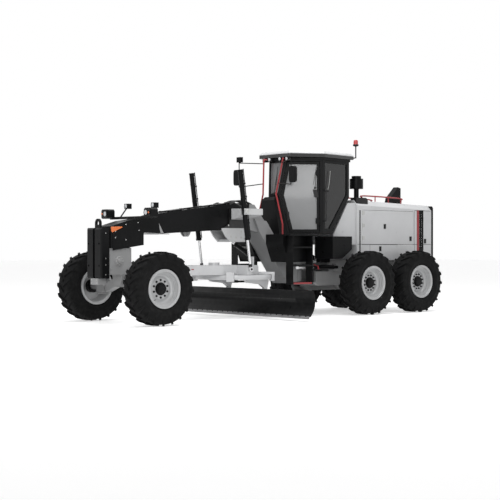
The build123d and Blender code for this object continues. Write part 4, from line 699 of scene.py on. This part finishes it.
for side, side_name in pair:
    leaf, metal = Shape(), Shape()
    body = f"door_{side_name}"
    out = on_door(side, 0, 1, 0) - on_door(side, 0, 0, 0)
    # handle, lock case, wiper
    door_box(leaf, side, (0.70, 0.745), (0.000, 0.030), (1.98, 2.16))
    leaf.tube([
        on_door(side, 0.722, y, z)
        for y, z in ((0.028, 2.13), (0.058, 2.12), (0.058, 2.02), (0.028, 2.01))
    ], 0.008, 8)
    leaf.prism([(0, 0), (0.085, 0), (0.115, 0.16), (0.035, 0.16)], on_door(side, 0.090, 0.001, 2.46),
               on_door(side, 1, 0, 0) - on_door(side, 0, 0, 0), (0, 0, 1),
               on_door(side, 0, 0.024, 0) - on_door(side, 0, 0, 0))
    wiper_foot = on_door(side, 0.16, 0.014, 2.66)
    leaf.lathe(wiper_foot, out, [(-0.012, 0.024), (0.010, 0.024), (0.016, 0.014), (0.016, 0.002)], 18)
    leaf.tube(
        [wiper_foot, on_door(side, 0.15, 0.026, 2.82), on_door(side, 0.14, 0.022, 3.06)], 0.0055, 6
    )
    leaf.tube([
        on_door(side, 0.20, 0.012, 2.72), on_door(side, 0.14, 0.019, 3.06),
        on_door(side, 0.12, 0.012, 3.12)
    ], 0.0045, 6)
    # hinges on the pillar
    for z0, z1 in ((1.86, 2.08), (2.86, 3.08)):
        metal.lathe(
            on_door(side, 0.066, 0.012, z0 + 0.04), (0, 0, 1),
            [(0, 0.010), (0, 0.0105), (z1 - z0 - 0.08, 0.0105)], 14
        )
        door_box(metal, side, (0.074, 0.150), (0.002, 0.008), (z0 + 0.05, z1 - 0.05))
        for k in (0.3, 0.7):
            metal.bolt(on_door(side, 0.118, 0.008, z0 + (z1 - z0) * k), out, 0.006)
    leaf.make(f"{body}_fittings", body, look=plastic, bevel=0.002)
    metal.make(f"{body}_hinges", body, slot="black_paint")
    # work lamps under the visor and at the rear of the roof
    for x, y in ((fore(-3.87), 0.16), (fore(-3.89), 0.345)):
        at = Vector((x + 0.035, side * y, 3.260))
        cab_black.box(
            (at.x - 0.075, at.x - 0.002), (at.y - 0.058, at.y + 0.058), (at.z - 0.045, at.z + 0.030)
        )
        round_lamp(cab_black, cab_lens, at, (1, 0, -0.1), 0.040, 0.002)
    at = Vector((fore(-5.498), side * 0.44, 3.225))
    cab_black.box((at.x + 0.002, at.x + 0.070), (at.y - 0.055, at.y + 0.055), (at.z - 0.05, at.z + 0.04))
    round_lamp(cab_black, cab_lens, at, (-1, 0, -0.1), 0.040, 0.002)
    # rear quarter: grab handle and wiper
    quarter = Vector((fore(-5.430) - corner.x, -0.137)).normalized()
    quarter_out = Vector((-0.1457, 0.9893))

    def on_quarter(run, out, z):
        flat = corner + quarter * run + quarter_out * out
        return Vector((flat.x, side * flat.y, z))

    cab_black.bent([
        on_quarter(0.045, 0.002, 1.96), on_quarter(0.045, 0.050, 1.99), on_quarter(0.045, 0.056, 2.2),
        on_quarter(0.045, 0.050, 2.58), on_quarter(0.045, 0.002, 2.61)
    ], 0.012, 4)
    cab_bright.tube(
        [on_quarter(0.16, 0.012, 2.62), on_quarter(0.20, 0.020, 2.78), on_quarter(0.24, 0.014, 3.02)],
        0.006, 6
    )
    cab_black.lathe(
        on_quarter(0.16, 0.0, 2.60), on_quarter(0, 1, 0) - on_quarter(0, 0, 0),
        [(-0.004, 0.026), (0.014, 0.026), (0.018, 0.012), (0.018, 0.002)], 18
    )
# windscreen wiper and its motor cover
cab_black.tube(
    [(fore(-3.800), 0.03, 2.56), (fore(-3.816), 0.035, 2.70), (fore(-3.856), 0.06, 2.98)], 0.007, 6
)
cab_black.tube(
    [(fore(-3.812), 0.055, 2.62), (fore(-3.856), 0.060, 2.98), (fore(-3.872), 0.062, 3.10)], 0.005, 6
)
cab_black.lathe(
    (fore(-3.806), 0.03, 2.545), (1, 0, 0.1),
    [(-0.01, 0.03), (0.014, 0.03), (0.02, 0.016), (0.02, 0.002)], 18
)
cab_black.make("cab_fittings", "front_frame", look=plastic, bevel=0.002)
cab_lens.make("cab_lamp_lenses", "front_frame", look=lamp_glass)
cab_bright.make("quarter_wipers", "front_frame", look=zinc)

# the roof's pressed ribs
low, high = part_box("cab_roof")
roof = Shape()
for y in (-0.36, -0.12, 0.12, 0.36):
    roof.plate(
        [(fore(-4.10), 0), (fore(-4.16), 0.010), (fore(-5.24), 0.010), (fore(-5.30), 0)],
        (0, y - 0.05, high.z - 0.014), (0, 0.10, 0)
    )
roof.make("roof_ribs", "front_frame", slot="white_paint", bevel=0.006, segments=3)

# mirrors: shells, glass and the lamp over the right one
shell, glass_face = Shape(), Shape()
for side, side_name in pair:
    centre = Vector((fore(-3.548), side * 0.861, 2.900))
    rows = ((-0.052, 0.62), (-0.046, 0.86), (-0.030, 0.97), (0.0, 1.0), (0.030, 1.0), (0.038, 0.97))
    points, faces = [], []
    count = 28
    for t, grow in rows:
        for k in range(count):
            turn = math.tau * k / count
            c, s = math.cos(turn), math.sin(turn)
            y = math.copysign(abs(c) ** 0.45, c) * 0.0875 * grow
            z = math.copysign(abs(s) ** 0.40, s) * 0.168 * (1 - (1 - grow) * 0.5)
            points.append(centre + Vector((t, y, z)))
    for row in range(len(rows) - 1):
        a, b = row * count, (row + 1) * count
        faces += [[a + k, a + (k + 1) % count, b + (k + 1) % count, b + k] for k in range(count)]
    faces += [list(range(count))[::-1], [(len(rows) - 1) * count + k for k in range(count)]]
    shell.add(points, faces)
    last = points[-count:]
    flat = [Vector((-0.0535, (p.y - centre.y) * 0.58, (p.z - centre.z) * 0.88)) for p in last]
    glass_face.add([centre + p for p in flat] + [centre + p + Vector((0.0035, 0, 0)) for p in flat], [
        list(range(count)), list(range(count, 2 * count))[::-1]
    ] + [[k, count + k, count + (k + 1) % count, (k + 1) % count] for k in range(count)])
    stem_y = side * 0.801
    shell.tube([Vector((fore(-3.548), stem_y, 2.70)), Vector((fore(-3.548), stem_y, 3.21))], 0.0105, 10)
    for foot, z in (
        ((fore(-3.787), side * 0.284, 3.179), 3.21), ((fore(-3.723), side * 0.230, 2.751), 2.70)
    ):
        shell.tube([Vector(foot), Vector((fore(-3.548), stem_y, z))], 0.010, 10)
    if side < 0:
        shell.box((fore(-3.60), fore(-3.53)), (stem_y - 0.065, stem_y + 0.065), (3.225, 3.335))
        shell.box((fore(-3.575), fore(-3.555)), (stem_y - 0.02, stem_y + 0.02), (3.20, 3.23))
piece = shell.make("mirror_shells", "front_frame", slot="black_paint", angle=50)
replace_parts(piece, "mirrors")
glass_face.make("mirror_faces", "front_frame", look=mirror_glass)


# ------------------------------------------------------------ hood and rear body
hood_black, hood_metal, hood_red, tail_red, tail_amber = (Shape() for k in range(5))
hood_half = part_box("hood")[1].y
tail_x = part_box("rear_frame")[0].x


def panel_latch(shape, side, x, z, y):
    """A folding latch: a square pan with a lever lying in it."""
    out = Vector((0, side, 0))
    at = Vector((x, side * y, z))
    shape.plate(
        [(-0.036, -0.052), (0.036, -0.052), (0.036, 0.052), (-0.036, 0.052)], at - out * 0.002,
        out * 0.008
    )
    shape.plate(
        [(-0.011, -0.022), (0.011, -0.022), (0.009, 0.026), (-0.009, 0.026)], at + out * 0.006,
        out * 0.008
    )


for side, side_name in pair:
    out = Vector((0, side, 0))
    door = f"hood_door_{side_name}"
    low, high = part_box(door)
    face = high.y if side > 0 else -low.y
    fittings, hinges = Shape(), Shape()
    panel_latch(fittings, side, fore(-6.527), 1.880, face)
    panel_latch(fittings, side, fore(-7.383), 1.613, face)
    for z in (1.58, 1.85, 2.12):
        hinges.lathe(
            (high.x - 0.012, side * (face + 0.008), z), (0, 0, 1),
            [(0, 0.008), (0, 0.009), (0.09, 0.009)], 12
        )
        hinges.plate(
            [(0, 0), (-0.06, 0), (-0.06, 0.07), (0, 0.07)], (high.x - 0.016, side * face, z + 0.01),
            out * 0.004
        )
        for k in (0.025, 0.065):
            hinges.bolt(Vector((high.x - 0.050, side * (face + 0.004), z + k)), out, 0.006)
    fittings.make(f"{door}_fittings", door, look=plastic, bevel=0.001)
    hinges.make(f"{door}_hinges", door, look=zinc)
    for x, z in ((fore(-6.379), 1.391), (fore(-7.882), 1.561)):
        panel_latch(hood_black, side, x, z, hood_half)
    # the vent beside the cab, with its slats
    hood_black.plate(
        [(-0.018, -1.04), (0.018, -1.04), (0.018, 0.0), (-0.018, 0.0)],
        (fore(-5.735), side * hood_half, 2.22), out * 0.002
    )
    for k in range(26):
        z = 2.20 - k * 0.039
        hood_metal.plate(
            [(-0.016, 0), (0.016, 0), (0.016, 0.016), (-0.016, 0.016)],
            (fore(-5.735), side * (hood_half + 0.002), z), out * 0.003
        )
    # rear lamps on the bumper and reflectors
    hood_black.box(
        (tail_x + 0.004, tail_x + 0.07), (side * 0.47 - 0.085, side * 0.47 + 0.085), (0.965, 1.075)
    )
    tail_red.box((tail_x, tail_x + 0.006), (side * 0.44 - 0.045, side * 0.44 + 0.045), (0.975, 1.065))
    tail_amber.box(
        (tail_x, tail_x + 0.006), (side * 0.522 - 0.028, side * 0.522 + 0.028), (0.975, 1.065)
    )
    # bolts along the bumper
    for z in (0.95, 1.10):
        for y in (0.12, 0.30):
            hood_metal.bolt(Vector((tail_x + 0.070, side * y, z)), (-1, 0, 0), 0.011)
    # small hinges of the rear grille
    for z in (1.50, 2.18):
        hood_black.box((fore(-8.105), fore(-8.085)), (side * 0.585, side * 0.625), (z, z + 0.08))
    rail = [(-6.00, 2.435), (-6.00, 2.500), (-6.06, 2.545), (-7.20, 2.520), (-7.27, 2.47), (-7.27, 2.39)]
    rail = [(fore(x), side * 0.46, z) for x, z in rail]
    hood_red.bent(rail, 0.016, 4, 10)
    for x in (-6.42, -6.85):
        hood_red.tube([(fore(x), side * 0.46, 2.40), (fore(x), side * 0.46, 2.535)], 0.012, 8)
    hood_black.plate(
        [(0, 0), (-0.36, 0), (-0.36, 0.11), (-0.30, 0.14), (0, 0.14)], (fore(-5.66), side * 0.44, 2.355),
        out * 0.175
    )
hood_red.make("hood_rails", "rear_frame", slot="red_paint")
hood_black.make("hood_latches", "rear_frame", look=plastic, bevel=0.002)
hood_metal.make("hood_vent_slats", "rear_frame", slot="black_paint")
tail_red.make("tail_lamps", "rear_frame", look=looks["beacon_lens"], bevel=0.003)
tail_amber.make("tail_indicators", "rear_frame", look=amber, bevel=0.003)

# ------------------------------------------------------------ deck, ladder and platforms
tread, step_red = Shape(), Shape()
ladder_x = fore(-4.01)
for side, side_name in pair:
    for k in range(19):
        for m in range(15):
            x = fore(-4.14) + k * 0.040
            y = side * (0.275 + m * 0.045 + (k % 2) * 0.022)
            if abs(y) < 0.93 and not (x < fore(-3.93) and abs(y) < 0.30):
                tread.lathe(
                    (x, y, 1.6845), (0, 0, 1), [(0, 0.0105), (0.0035, 0.0075), (0.0035, 0.001)], 6
                )
    for z in (0.69, 1.05, 1.42):
        for k in range(13):
            x = fore(-3.99) + k * 0.042
            for y in (0.785, 0.85, 0.915):
                tread.box(
                    (x - 0.013, x + 0.013), (side * y - 0.010, side * y + 0.010), (z + 0.018, z + 0.0235)
                )
    step_red.plate(
        [(0.02, 0), (0.53, 0), (0.53, 0.034), (0.02, 0.034)], (ladder_x, side * 0.951, 0.678),
        (0, side * 0.004, 0)
    )
    # red lock lever by the hitch
    step_red.tube([
        (fore(-4.434), side * 0.56, 1.06), (fore(-4.434), side * 0.68, 1.03),
        (fore(-4.434), side * 0.70, 0.96)
    ], 0.012, 8)
tread.make("deck_dots", "front_frame", slot="black_paint")
step_red.make("red_steps", "front_frame", slot="red_paint", bevel=0.002)


# ------------------------------------------------------------ seat: cushions with sewn channels
most_bulge = 0.012


def cushion(name, centre, size, turn, crown):
    """A stuffed pad: a rounded slab whose sides pull in between its corners, inflated as cloth."""
    length, width, thick = size
    rows, columns, layers = 18, 18, 5
    points, faces, index = [], [], {}

    def place(x, y, c):
        pull = 1 - 0.035 * (1 - abs(abs(x) - abs(y)))
        corner_x = x * math.sqrt(1 - 0.16 * y * y)
        corner_y = y * math.sqrt(1 - 0.16 * x * x)
        rise = crown * (1 - x * x) * (1 - y * y) * (1 if c > 0 else 0.15)
        height = c * thick / 2 * (1 - 0.22 * max(abs(x), abs(y)) ** 6)
        return Vector((corner_x * pull * length / 2, corner_y * pull * width / 2, height + rise))

    def vert(a, b, c):
        key = (round(a, 4), round(b, 4), round(c, 4))
        if key not in index:
            index[key] = len(points)
            points.append(place(a, b, c))
        return index[key]

    def steps(count):
        return [-1 + 2 * k / count for k in range(count + 1)]

    for c in (-1, 1):
        for a0, a1 in zip(steps(rows), steps(rows)[1:]):
            for b0, b1 in zip(steps(columns), steps(columns)[1:]):
                ring = [vert(a0, b0, c), vert(a1, b0, c), vert(a1, b1, c), vert(a0, b1, c)]
                faces.append(ring if c > 0 else ring[::-1])
    for c0, c1 in zip(steps(layers), steps(layers)[1:]):
        for a0, a1 in zip(steps(rows), steps(rows)[1:]):
            faces.append([vert(a0, -1, c0), vert(a1, -1, c0), vert(a1, -1, c1), vert(a0, -1, c1)])
            faces.append([vert(a0, 1, c1), vert(a1, 1, c1), vert(a1, 1, c0), vert(a0, 1, c0)])
        for b0, b1 in zip(steps(columns), steps(columns)[1:]):
            faces.append([vert(-1, b0, c1), vert(-1, b1, c1), vert(-1, b1, c0), vert(-1, b0, c0)])
            faces.append([vert(1, b0, c0), vert(1, b1, c0), vert(1, b1, c1), vert(1, b0, c1)])
    spin = Matrix.Rotation(turn, 4, "Y")
    mesh = bpy.data.meshes.new(name)
    mesh.from_pydata([tuple(p) for p in points], [], faces)
    pad = place_object(name, mesh)
    mesh.materials.append(looks["seat_fabric"])
    start = [p.copy() for p in points]
    remesh = pad.modifiers.new("voxels", "REMESH")
    remesh.mode = "VOXEL"
    remesh.voxel_size = 0.006
    bpy.context.view_layer.objects.active = pad
    pad.select_set(True)
    bpy.ops.object.modifier_apply(modifier="voxels")
    start = [v.co.copy() for v in pad.data.vertices]
    cloth = pad.modifiers.new("stuffing", "CLOTH")
    cloth.settings.use_pressure = True
    cloth.settings.uniform_pressure_force = 4
    cloth.settings.effector_weights.gravity = 0
    cloth.point_cache.frame_start, cloth.point_cache.frame_end = 1, 20
    for step in range(1, 21):
        bpy.context.scene.frame_set(step)
    bpy.ops.object.modifier_apply(modifier="stuffing")
    bpy.context.scene.frame_set(1)
    pad.select_set(False)
    for v, before in zip(pad.data.vertices, start):
        move = v.co - before
        if move.length > most_bulge:
            v.co = before + move * (most_bulge / move.length)
    # sewn channels across the pad
    for v in pad.data.vertices:
        for line in (-0.42, -0.14, 0.14, 0.42):
            near = abs(v.co.y - line * width * 0.5) / 0.012
            if near < 1 and v.co.z > 0 and abs(v.co.x) < length * 0.40:
                v.co.z -= 0.007 * (1 - near) ** 1.5
    for v in pad.data.vertices:
        v.co = spin @ v.co + Vector(centre)
    for polygon in pad.data.polygons:
        polygon.use_smooth = True
    finer = pad.modifiers.new("finer", "SUBSURF")
    finer.levels = finer.render_levels = 1
    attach(pad, "front_frame")
    return pad


seat_x = fore(-4.80)
pads = [
    cushion("seat_cushion", (seat_x + 0.012, 0, 2.245), (0.440, 0.450, 0.085), 0.0, 0.010),
    cushion("seat_back", (seat_x - 0.225, 0, 2.590), (0.560, 0.420, 0.075), math.radians(-97), 0.008)
]
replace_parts(pads[0], "seat")
seat_frame = Shape()
seat_frame.box((seat_x - 0.20, seat_x + 0.21), (-0.20, 0.20), (2.150, 2.196))
seat_frame.box((seat_x - 0.275, seat_x - 0.262), (-0.19, 0.19), (2.28, 2.86))
seat_frame.lathe(
    (seat_x, 0, 1.712), (0, 0, 1), [(0, 0.19), (0.02, 0.19), (0.03, 0.16), (0.40, 0.15), (0.44, 0.17)],
    20
)
for k in range(9):
    seat_frame.lathe(
        (seat_x, 0, 1.76 + k * 0.040), (0, 0, 1), [(0, 0.158), (0.013, 0.178), (0.026, 0.158)], 20
    )
for side in (1, -1):
    seat_frame.plate(
        [(-0.23, 0.0), (0.10, 0.0), (0.13, 0.03), (0.10, 0.055), (-0.23, 0.055)],
        (seat_x, side * 0.265 - 0.03, 2.40), (0, 0.06, 0)
    )
    seat_frame.box(
        (seat_x - 0.24, seat_x - 0.19), (side * 0.265 - 0.02, side * 0.265 + 0.02), (2.20, 2.41)
    )
seat_frame.lathe((seat_x - 0.258, 0, 2.875), (0, 0, 1), [(0, 0.012), (0.06, 0.012)], 10)
seat_frame.make("seat_frame", "front_frame", look=plastic, bevel=0.004)

# ------------------------------------------------------------ cylinders: glands, pipes and hoses
for side, side_name in pair:
    top = Vector((fore(-2.34), side * 0.760, 2.120))
    ball = Vector((fore(-2.50), side * 0.760, 0.990))
    along = (ball - top).normalized()
    mouth = top + along * 0.5585
    head = top - along * 0.828
    gland = Shape()
    for t, r, w in (
        (0.530, 0.0595, 0.012), (0.20, 0.0535, 0.03), (-0.25, 0.0535, 0.03), (-0.60, 0.0535, 0.03),
        (-0.812, 0.0545, 0.02)
    ):
        gland.lathe(
            top + along * t, along, [(-w / 2, 0.049), (-w / 2, r), (w / 2, r), (w / 2, 0.049)], 28
        )
    out = Vector((0, side, 0))
    back = Vector((-1, 0, 0))
    # pipe from the top port down to the gland port, with its clamps
    pipe = [
        head + along * 0.04 + back * 0.045, head + along * 0.04 + back * 0.078,
        head + along * 0.09 + back * 0.082, mouth - along * 0.16 + back * 0.082,
        mouth - along * 0.10 + back * 0.078, mouth - along * 0.09 + back * 0.050
    ]
    gland.bent(pipe, 0.009, 4)
    for t in (-0.56, -0.30, 0.22):
        at = top + along * t + back * 0.064
        gland.box(
            (at.x - 0.030, at.x + 0.020), (at.y - 0.014, at.y + 0.014), (at.z - 0.014, at.z + 0.014)
        )
    for k in range(6):
        turn = math.tau * k / 6
        spot = mouth + (back * math.cos(turn) + out * math.sin(turn)) * 0.040
        gland.bolt(spot, along, 0.007)
    gland.make(f"lift_{side_name}_pipes", f"lift_{side_name}_barrel", slot="black_paint")
    boot = Shape()
    boot.lathe(
        ball - along * 0.105, along,
        [(0, 0.028), (0.0, 0.034), (0.03, 0.036), (0.06, 0.034), (0.06, 0.028)], 24
    )
    for s in (1, -1):
        boot.bolt(ball + out * 0.030 * s, out * s, 0.017)
    boot.make(f"lift_{side_name}_eye", f"lift_{side_name}_rod", look=plastic, angle=30)
    # saddle hardware: trunnion caps with four bolts each, and bolts of the plates
    caps = Shape()
    at = Vector((fore(-2.34), side * 0.838, 2.120))
    caps.lathe(at, out, [(-0.002, 0.040), (0.010, 0.040), (0.014, 0.034), (0.014, 0.002)], 24)
    for k in range(4):
        turn = math.tau * (k + 0.5) / 4
        caps.bolt(at + spoke_at(turn) * 0.049, out, 0.0075)
    for x, z in ((-2.42, 2.165), (-2.42, 2.075)):
        caps.bolt(Vector((fore(x), side * 0.8385, z)), out, 0.008)
    for x, z in (
        (-2.36, 1.70), (-2.46, 1.64), (-2.60, 1.62), (-2.74, 1.62), (-2.74, 1.74), (-2.40, 1.86)
    ):
        caps.bolt(Vector((fore(x), side * 0.2025, z)), out, 0.012)
    caps.make(f"saddle_{side_name}_bolts", "front_frame", look=zinc, angle=30)

# hoses from the neck over the saddle to the cylinders
hoses = Shape()
for side in (1, -1):
    for k in range(3):
        y = side * (0.055 + 0.030 * k)
        hoses.bent([
            (fore(-2.58), y, 2.325), (fore(-2.75), y, 2.365), (fore(-2.95), y * 1.05, 2.345),
            (fore(-3.12), y * 1.1, 2.27), (fore(-3.22), y * 1.15, 2.12), (fore(-3.30), y * 1.2, 2.02)
        ], 0.012)
    for k in range(2):
        y = side * (0.150 - 0.034 * k)
        hoses.bent([
            (fore(-2.30) - 0.04 * k, y, 2.286), (fore(-2.40), y, 2.318),
            (fore(-2.50), side * (0.26 + 0.03 * k), 2.30), (fore(-2.56), side * (0.42 + 0.03 * k), 2.22),
            (fore(-2.60), side * 0.56, 2.205)
        ], 0.011)
# bundle down the right of the drop behind the saddle
for k in range(4):
    y = -0.245 - 0.012 * (k % 2)
    x = -3.02 - 0.035 * k
    hoses.bent([
        (fore(x + 0.10), -0.185, 1.90 - 0.02 * k), (fore(x + 0.04), y - 0.015, 1.84),
        (fore(x), y - 0.01, 1.66), (fore(x - 0.10), y, 1.46), (fore(x - 0.16), y, 1.36),
        (fore(x - 0.22), -0.20, 1.29)
    ], 0.0115)
hoses.make("frame_hoses", "front_frame", look=hose_rubber)
clamp = Shape()
for t in (0, 1):
    clamp.box(
        (fore(-3.20) - 0.13 * t - 0.02, fore(-3.04) - 0.13 * t + 0.02), (-0.275, -0.228),
        (1.62 - 0.22 * t, 1.66 - 0.22 * t)
    )
clamp.make("hose_clamps", "front_frame", look=zinc, bevel=0.002)


# ------------------------------------------------------------ beacon
base = Vector((fore(-5.635), 0.620, 0))
stem, dome = Shape(), Shape()
stem.lathe(base, (0, 0, 1), [
    (3.335, 0.002), (3.335, 0.013), (3.585, 0.013), (3.600, 0.058), (3.606, 0.062), (3.628, 0.062),
    (3.634, 0.056), (3.636, 0.002)
], 28)
stem.tube(
    [base + Vector((0.115, 0, 3.345)), base + Vector((0.05, 0, 3.335)), base + Vector((0, 0, 3.350))],
    0.013, 10
)
dome.lathe(base, (0, 0, 1), [
    (3.632, 0.002), (3.632, 0.050), (3.660, 0.0505), (3.664, 0.0485), (3.668, 0.0505), (3.690, 0.050),
    (3.694, 0.0475), (3.698, 0.049), (3.716, 0.045), (3.726, 0.034), (3.730, 0.018), (3.7305, 0.002)
], 32)
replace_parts(dome.make("beacon_dome", "front_frame", slot="beacon_lens"), "beacon")
stem.make("beacon_stem", "front_frame", look=plastic)

# ------------------------------------------------------------ blade and drawbar hardware
edge_bolts = Shape()
low_edge, high_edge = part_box("cutting_edge")
for k in range(26):
    y = -2.05 + k * 0.164
    edge_bolts.lathe(
        (high_edge.x - 0.006, y, low_edge.z + 0.055), (1, 0, 0.25),
        [(0, 0.014), (0.004, 0.013), (0.006, 0.008), (0.006, 0.001)], 12
    )
edge_bolts.make("blade_bolts", "blade", slot="black_paint", angle=30)
marks, drawbar_metal = Shape(), Shape()
for side, side_name in pair:
    out = Vector((0, side, 0))
    for x in (-1.55, -1.85, -2.15, -2.62, -2.88):
        drawbar_metal.bolt(
            Vector((fore(x), side * (0.30 + (abs(x) - 1.23) * 0.149 if x > -2.1 else 0.43), 0.93)), out,
            0.010
        )
    marks.prism(
        [(0, 0), (0.055, 0), (0.055, 0.018), (0, 0.018)], (fore(-1.36), side * 0.3205, 0.985),
        Vector((-1, side * 0.149, 0)).normalized(), (0, 0, 1), (0, side * 0.003, 0)
    )
    # weld beads along the drawbar's top edges
    bead = [
        (fore(-1.30), side * 0.300, 1.0585), (fore(-2.08), side * 0.418, 1.0585),
        (fore(-2.98), side * 0.420, 1.0585)
    ]
    drawbar_metal.tube(bead, 0.006, 6)
marks.make("drawbar_marks", "drawbar", slot="red_paint")
drawbar_metal.make("drawbar_bolts", "drawbar", slot="white_paint", angle=30)

# ------------------------------------------------------------ axle and tandem hardware
axle_bits = Shape()
for side, side_name in pair:
    out = Vector((0, side, 0))
    for x in (-0.772, 0.772):
        at = Vector((fore(tandem_from_axle) + x, side * 0.790, 0.674))
        for k in range(10):
            turn = math.tau * k / 10
            axle_bits.bolt(at + spoke_at(turn) * 0.150, out, 0.010)
    for k in range(16):
        x = fore(tandem_from_axle) - 0.60 + k * 0.080
        for z in (0.505, 0.845):
            axle_bits.bolt(Vector((x, side * 0.790, z)), out, 0.009)
    for k in range(7):
        axle_bits.bolt(
            Vector((fore(tandem_from_axle) + 0.22 * (k - 3), side * 0.790, 0.674 + 0.02 * (k % 2))), out,
            0.006
        )
axle_bits.make("tandem_bolts", "rear_frame", look=zinc, angle=30)
for side, side_name in pair:
    bits = Shape()
    low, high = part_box(f"knuckle_{side_name}")
    bits.lathe((fore(0.0), side * abs(low.y + high.y) / 2, high.z), (0, 0, 1),
               [(-0.002, 0.034), (0.006, 0.034), (0.009, 0.028), (0.009, 0.002)], 18)
    bits.make(f"knuckle_{side_name}_cap", f"knuckle_{side_name}", look=zinc)

# ------------------------------------------------------------ hood seams and panel lines
seams = Shape()
for side in (1, -1):
    out = Vector((0, side, 0))
    for x0, x1, z in ((-5.66, -8.08, 1.482), (-7.52, -8.08, 2.245)):
        seams.plate(
            [(0, 0), (x1 - x0, 0), (x1 - x0, 0.008), (0, 0.008)], (fore(x0), side * hood_side_y, z),
            out * 0.0012
        )
    for x, z0, z1 in ((-7.52, 1.20, 2.245), (-6.05, 1.16, 1.482)):
        seams.plate(
            [(-0.003, 0), (0.003, 0), (0.003, z1 - z0), (-0.003, z1 - z0)],
            (fore(x), side * hood_side_y, z0), out * 0.0012
        )
    for k in range(22):
        z = 1.37 + k * 0.0405
        seams.plate(
            [(-0.09, 0), (0.09, 0), (0.09, 0.018), (-0.09, 0.018)],
            (fore(-7.725), side * hood_side_y, z), out * 0.003
        )
seams.make("hood_seams", "rear_frame", slot="black_paint")
bar_red = Shape()
for side in (1, -1):
    bar_red.box((fore(-7.665), fore(-7.600)), (side * 0.6495, side * 0.660), (1.350, 2.256))
bar_red.make("red_bars", "rear_frame", slot="red_paint", bevel=0.003)


# ------------------------------------------------------------ studio
floor_mesh = bpy.data.meshes.new("floor")
floor_mesh.from_pydata([(-90, -90, 0), (90, -90, 0), (90, 90, 0), (-90, 90, 0)], [], [(0, 1, 2, 3)])
floor = place_object("floor", floor_mesh)
ground = bpy.data.materials.new("studio_floor")
ground.use_nodes = True
ground.node_tree.nodes["Principled BSDF"].inputs["Base Color"].default_value = (0.93, 0.93, 0.93, 1)
ground.node_tree.nodes["Principled BSDF"].inputs["Roughness"].default_value = 0.55
ground.node_tree.nodes["Principled BSDF"].inputs["Specular IOR Level"].default_value = 0.25
floor_mesh.materials.append(ground)

sky_on_object, sky_seen = 0.42, 1.0
floor_glow = 0.45
world = bpy.data.worlds.new("studio")
bpy.context.scene.world = world
world.use_nodes = True
world.node_tree.nodes["Background"].inputs["Color"].default_value = (1, 1, 1, 1)
sky_nodes, sky_links = world.node_tree.nodes, world.node_tree.links


def seen_directly(nodes, links):
    """1 for camera, mirror and see-through rays, 0 for the light that falls on surfaces."""
    path = nodes.new("ShaderNodeLightPath")
    total = path.outputs["Is Camera Ray"]
    for name in ("Is Glossy Ray", "Is Transmission Ray"):
        node = nodes.new("ShaderNodeMath")
        node.operation = "MAXIMUM"
        links.new(total, node.inputs[0])
        links.new(path.outputs[name], node.inputs[1])
        total = node.outputs["Value"]
    return total


strength = sky_nodes.new("ShaderNodeMapRange")
strength.inputs["To Min"].default_value = sky_on_object
strength.inputs["To Max"].default_value = sky_seen
sky_links.new(seen_directly(sky_nodes, sky_links), strength.inputs["Value"])
sky_links.new(strength.outputs["Result"], sky_nodes["Background"].inputs["Strength"])

floor_nodes, floor_links = ground.node_tree.nodes, ground.node_tree.links
glow = floor_nodes.new("ShaderNodeEmission")
lift = floor_nodes.new("ShaderNodeMath")
lift.operation = "MULTIPLY"
lift.inputs[1].default_value = floor_glow
floor_links.new(seen_directly(floor_nodes, floor_links), lift.inputs[0])
floor_links.new(lift.outputs["Value"], glow.inputs["Strength"])
both = floor_nodes.new("ShaderNodeAddShader")
floor_links.new(floor_nodes["Principled BSDF"].outputs["BSDF"], both.inputs[0])
floor_links.new(glow.outputs["Emission"], both.inputs[1])
floor_links.new(both.outputs["Shader"], floor_nodes["Material Output"].inputs["Surface"])


def soft_light(name, at, aim, size, watts):
    data = bpy.data.lights.new(name, "AREA")
    data.shape = "RECTANGLE"
    data.size, data.size_y = size
    data.energy = watts
    lamp = place_object(name, data)
    lamp.location = at
    lamp.rotation_euler = (Vector(aim) - Vector(at)).to_track_quat("-Z", "Y").to_euler()


soft_light("top", (1, 2, 11), (0, 0, 1), (12, 8), 1100)
soft_light("front_side", (11, 10, 6), (0, 0, 1.5), (8, 6), 600)

bpy.context.scene.view_settings.view_transform = "Standard"
# the photograph's camera, from a fit to the wheels
camera_at, focal_mm = (16.626, 18.146, 1.425), 84.88
yaw, pitch = math.radians(41.377), math.radians(0.139)
view = bpy.data.cameras.new("camera")
view.lens = focal_mm
view.sensor_width = 36
view.clip_end = 300
camera = place_object("camera", view)
camera.location = camera_at
ahead = Vector((-math.sin(yaw) * math.cos(pitch), -math.cos(yaw) * math.cos(pitch), -math.sin(pitch)))
camera.rotation_euler = ahead.to_track_quat("-Z", "Y").to_euler()
bpy.context.scene.camera = camera
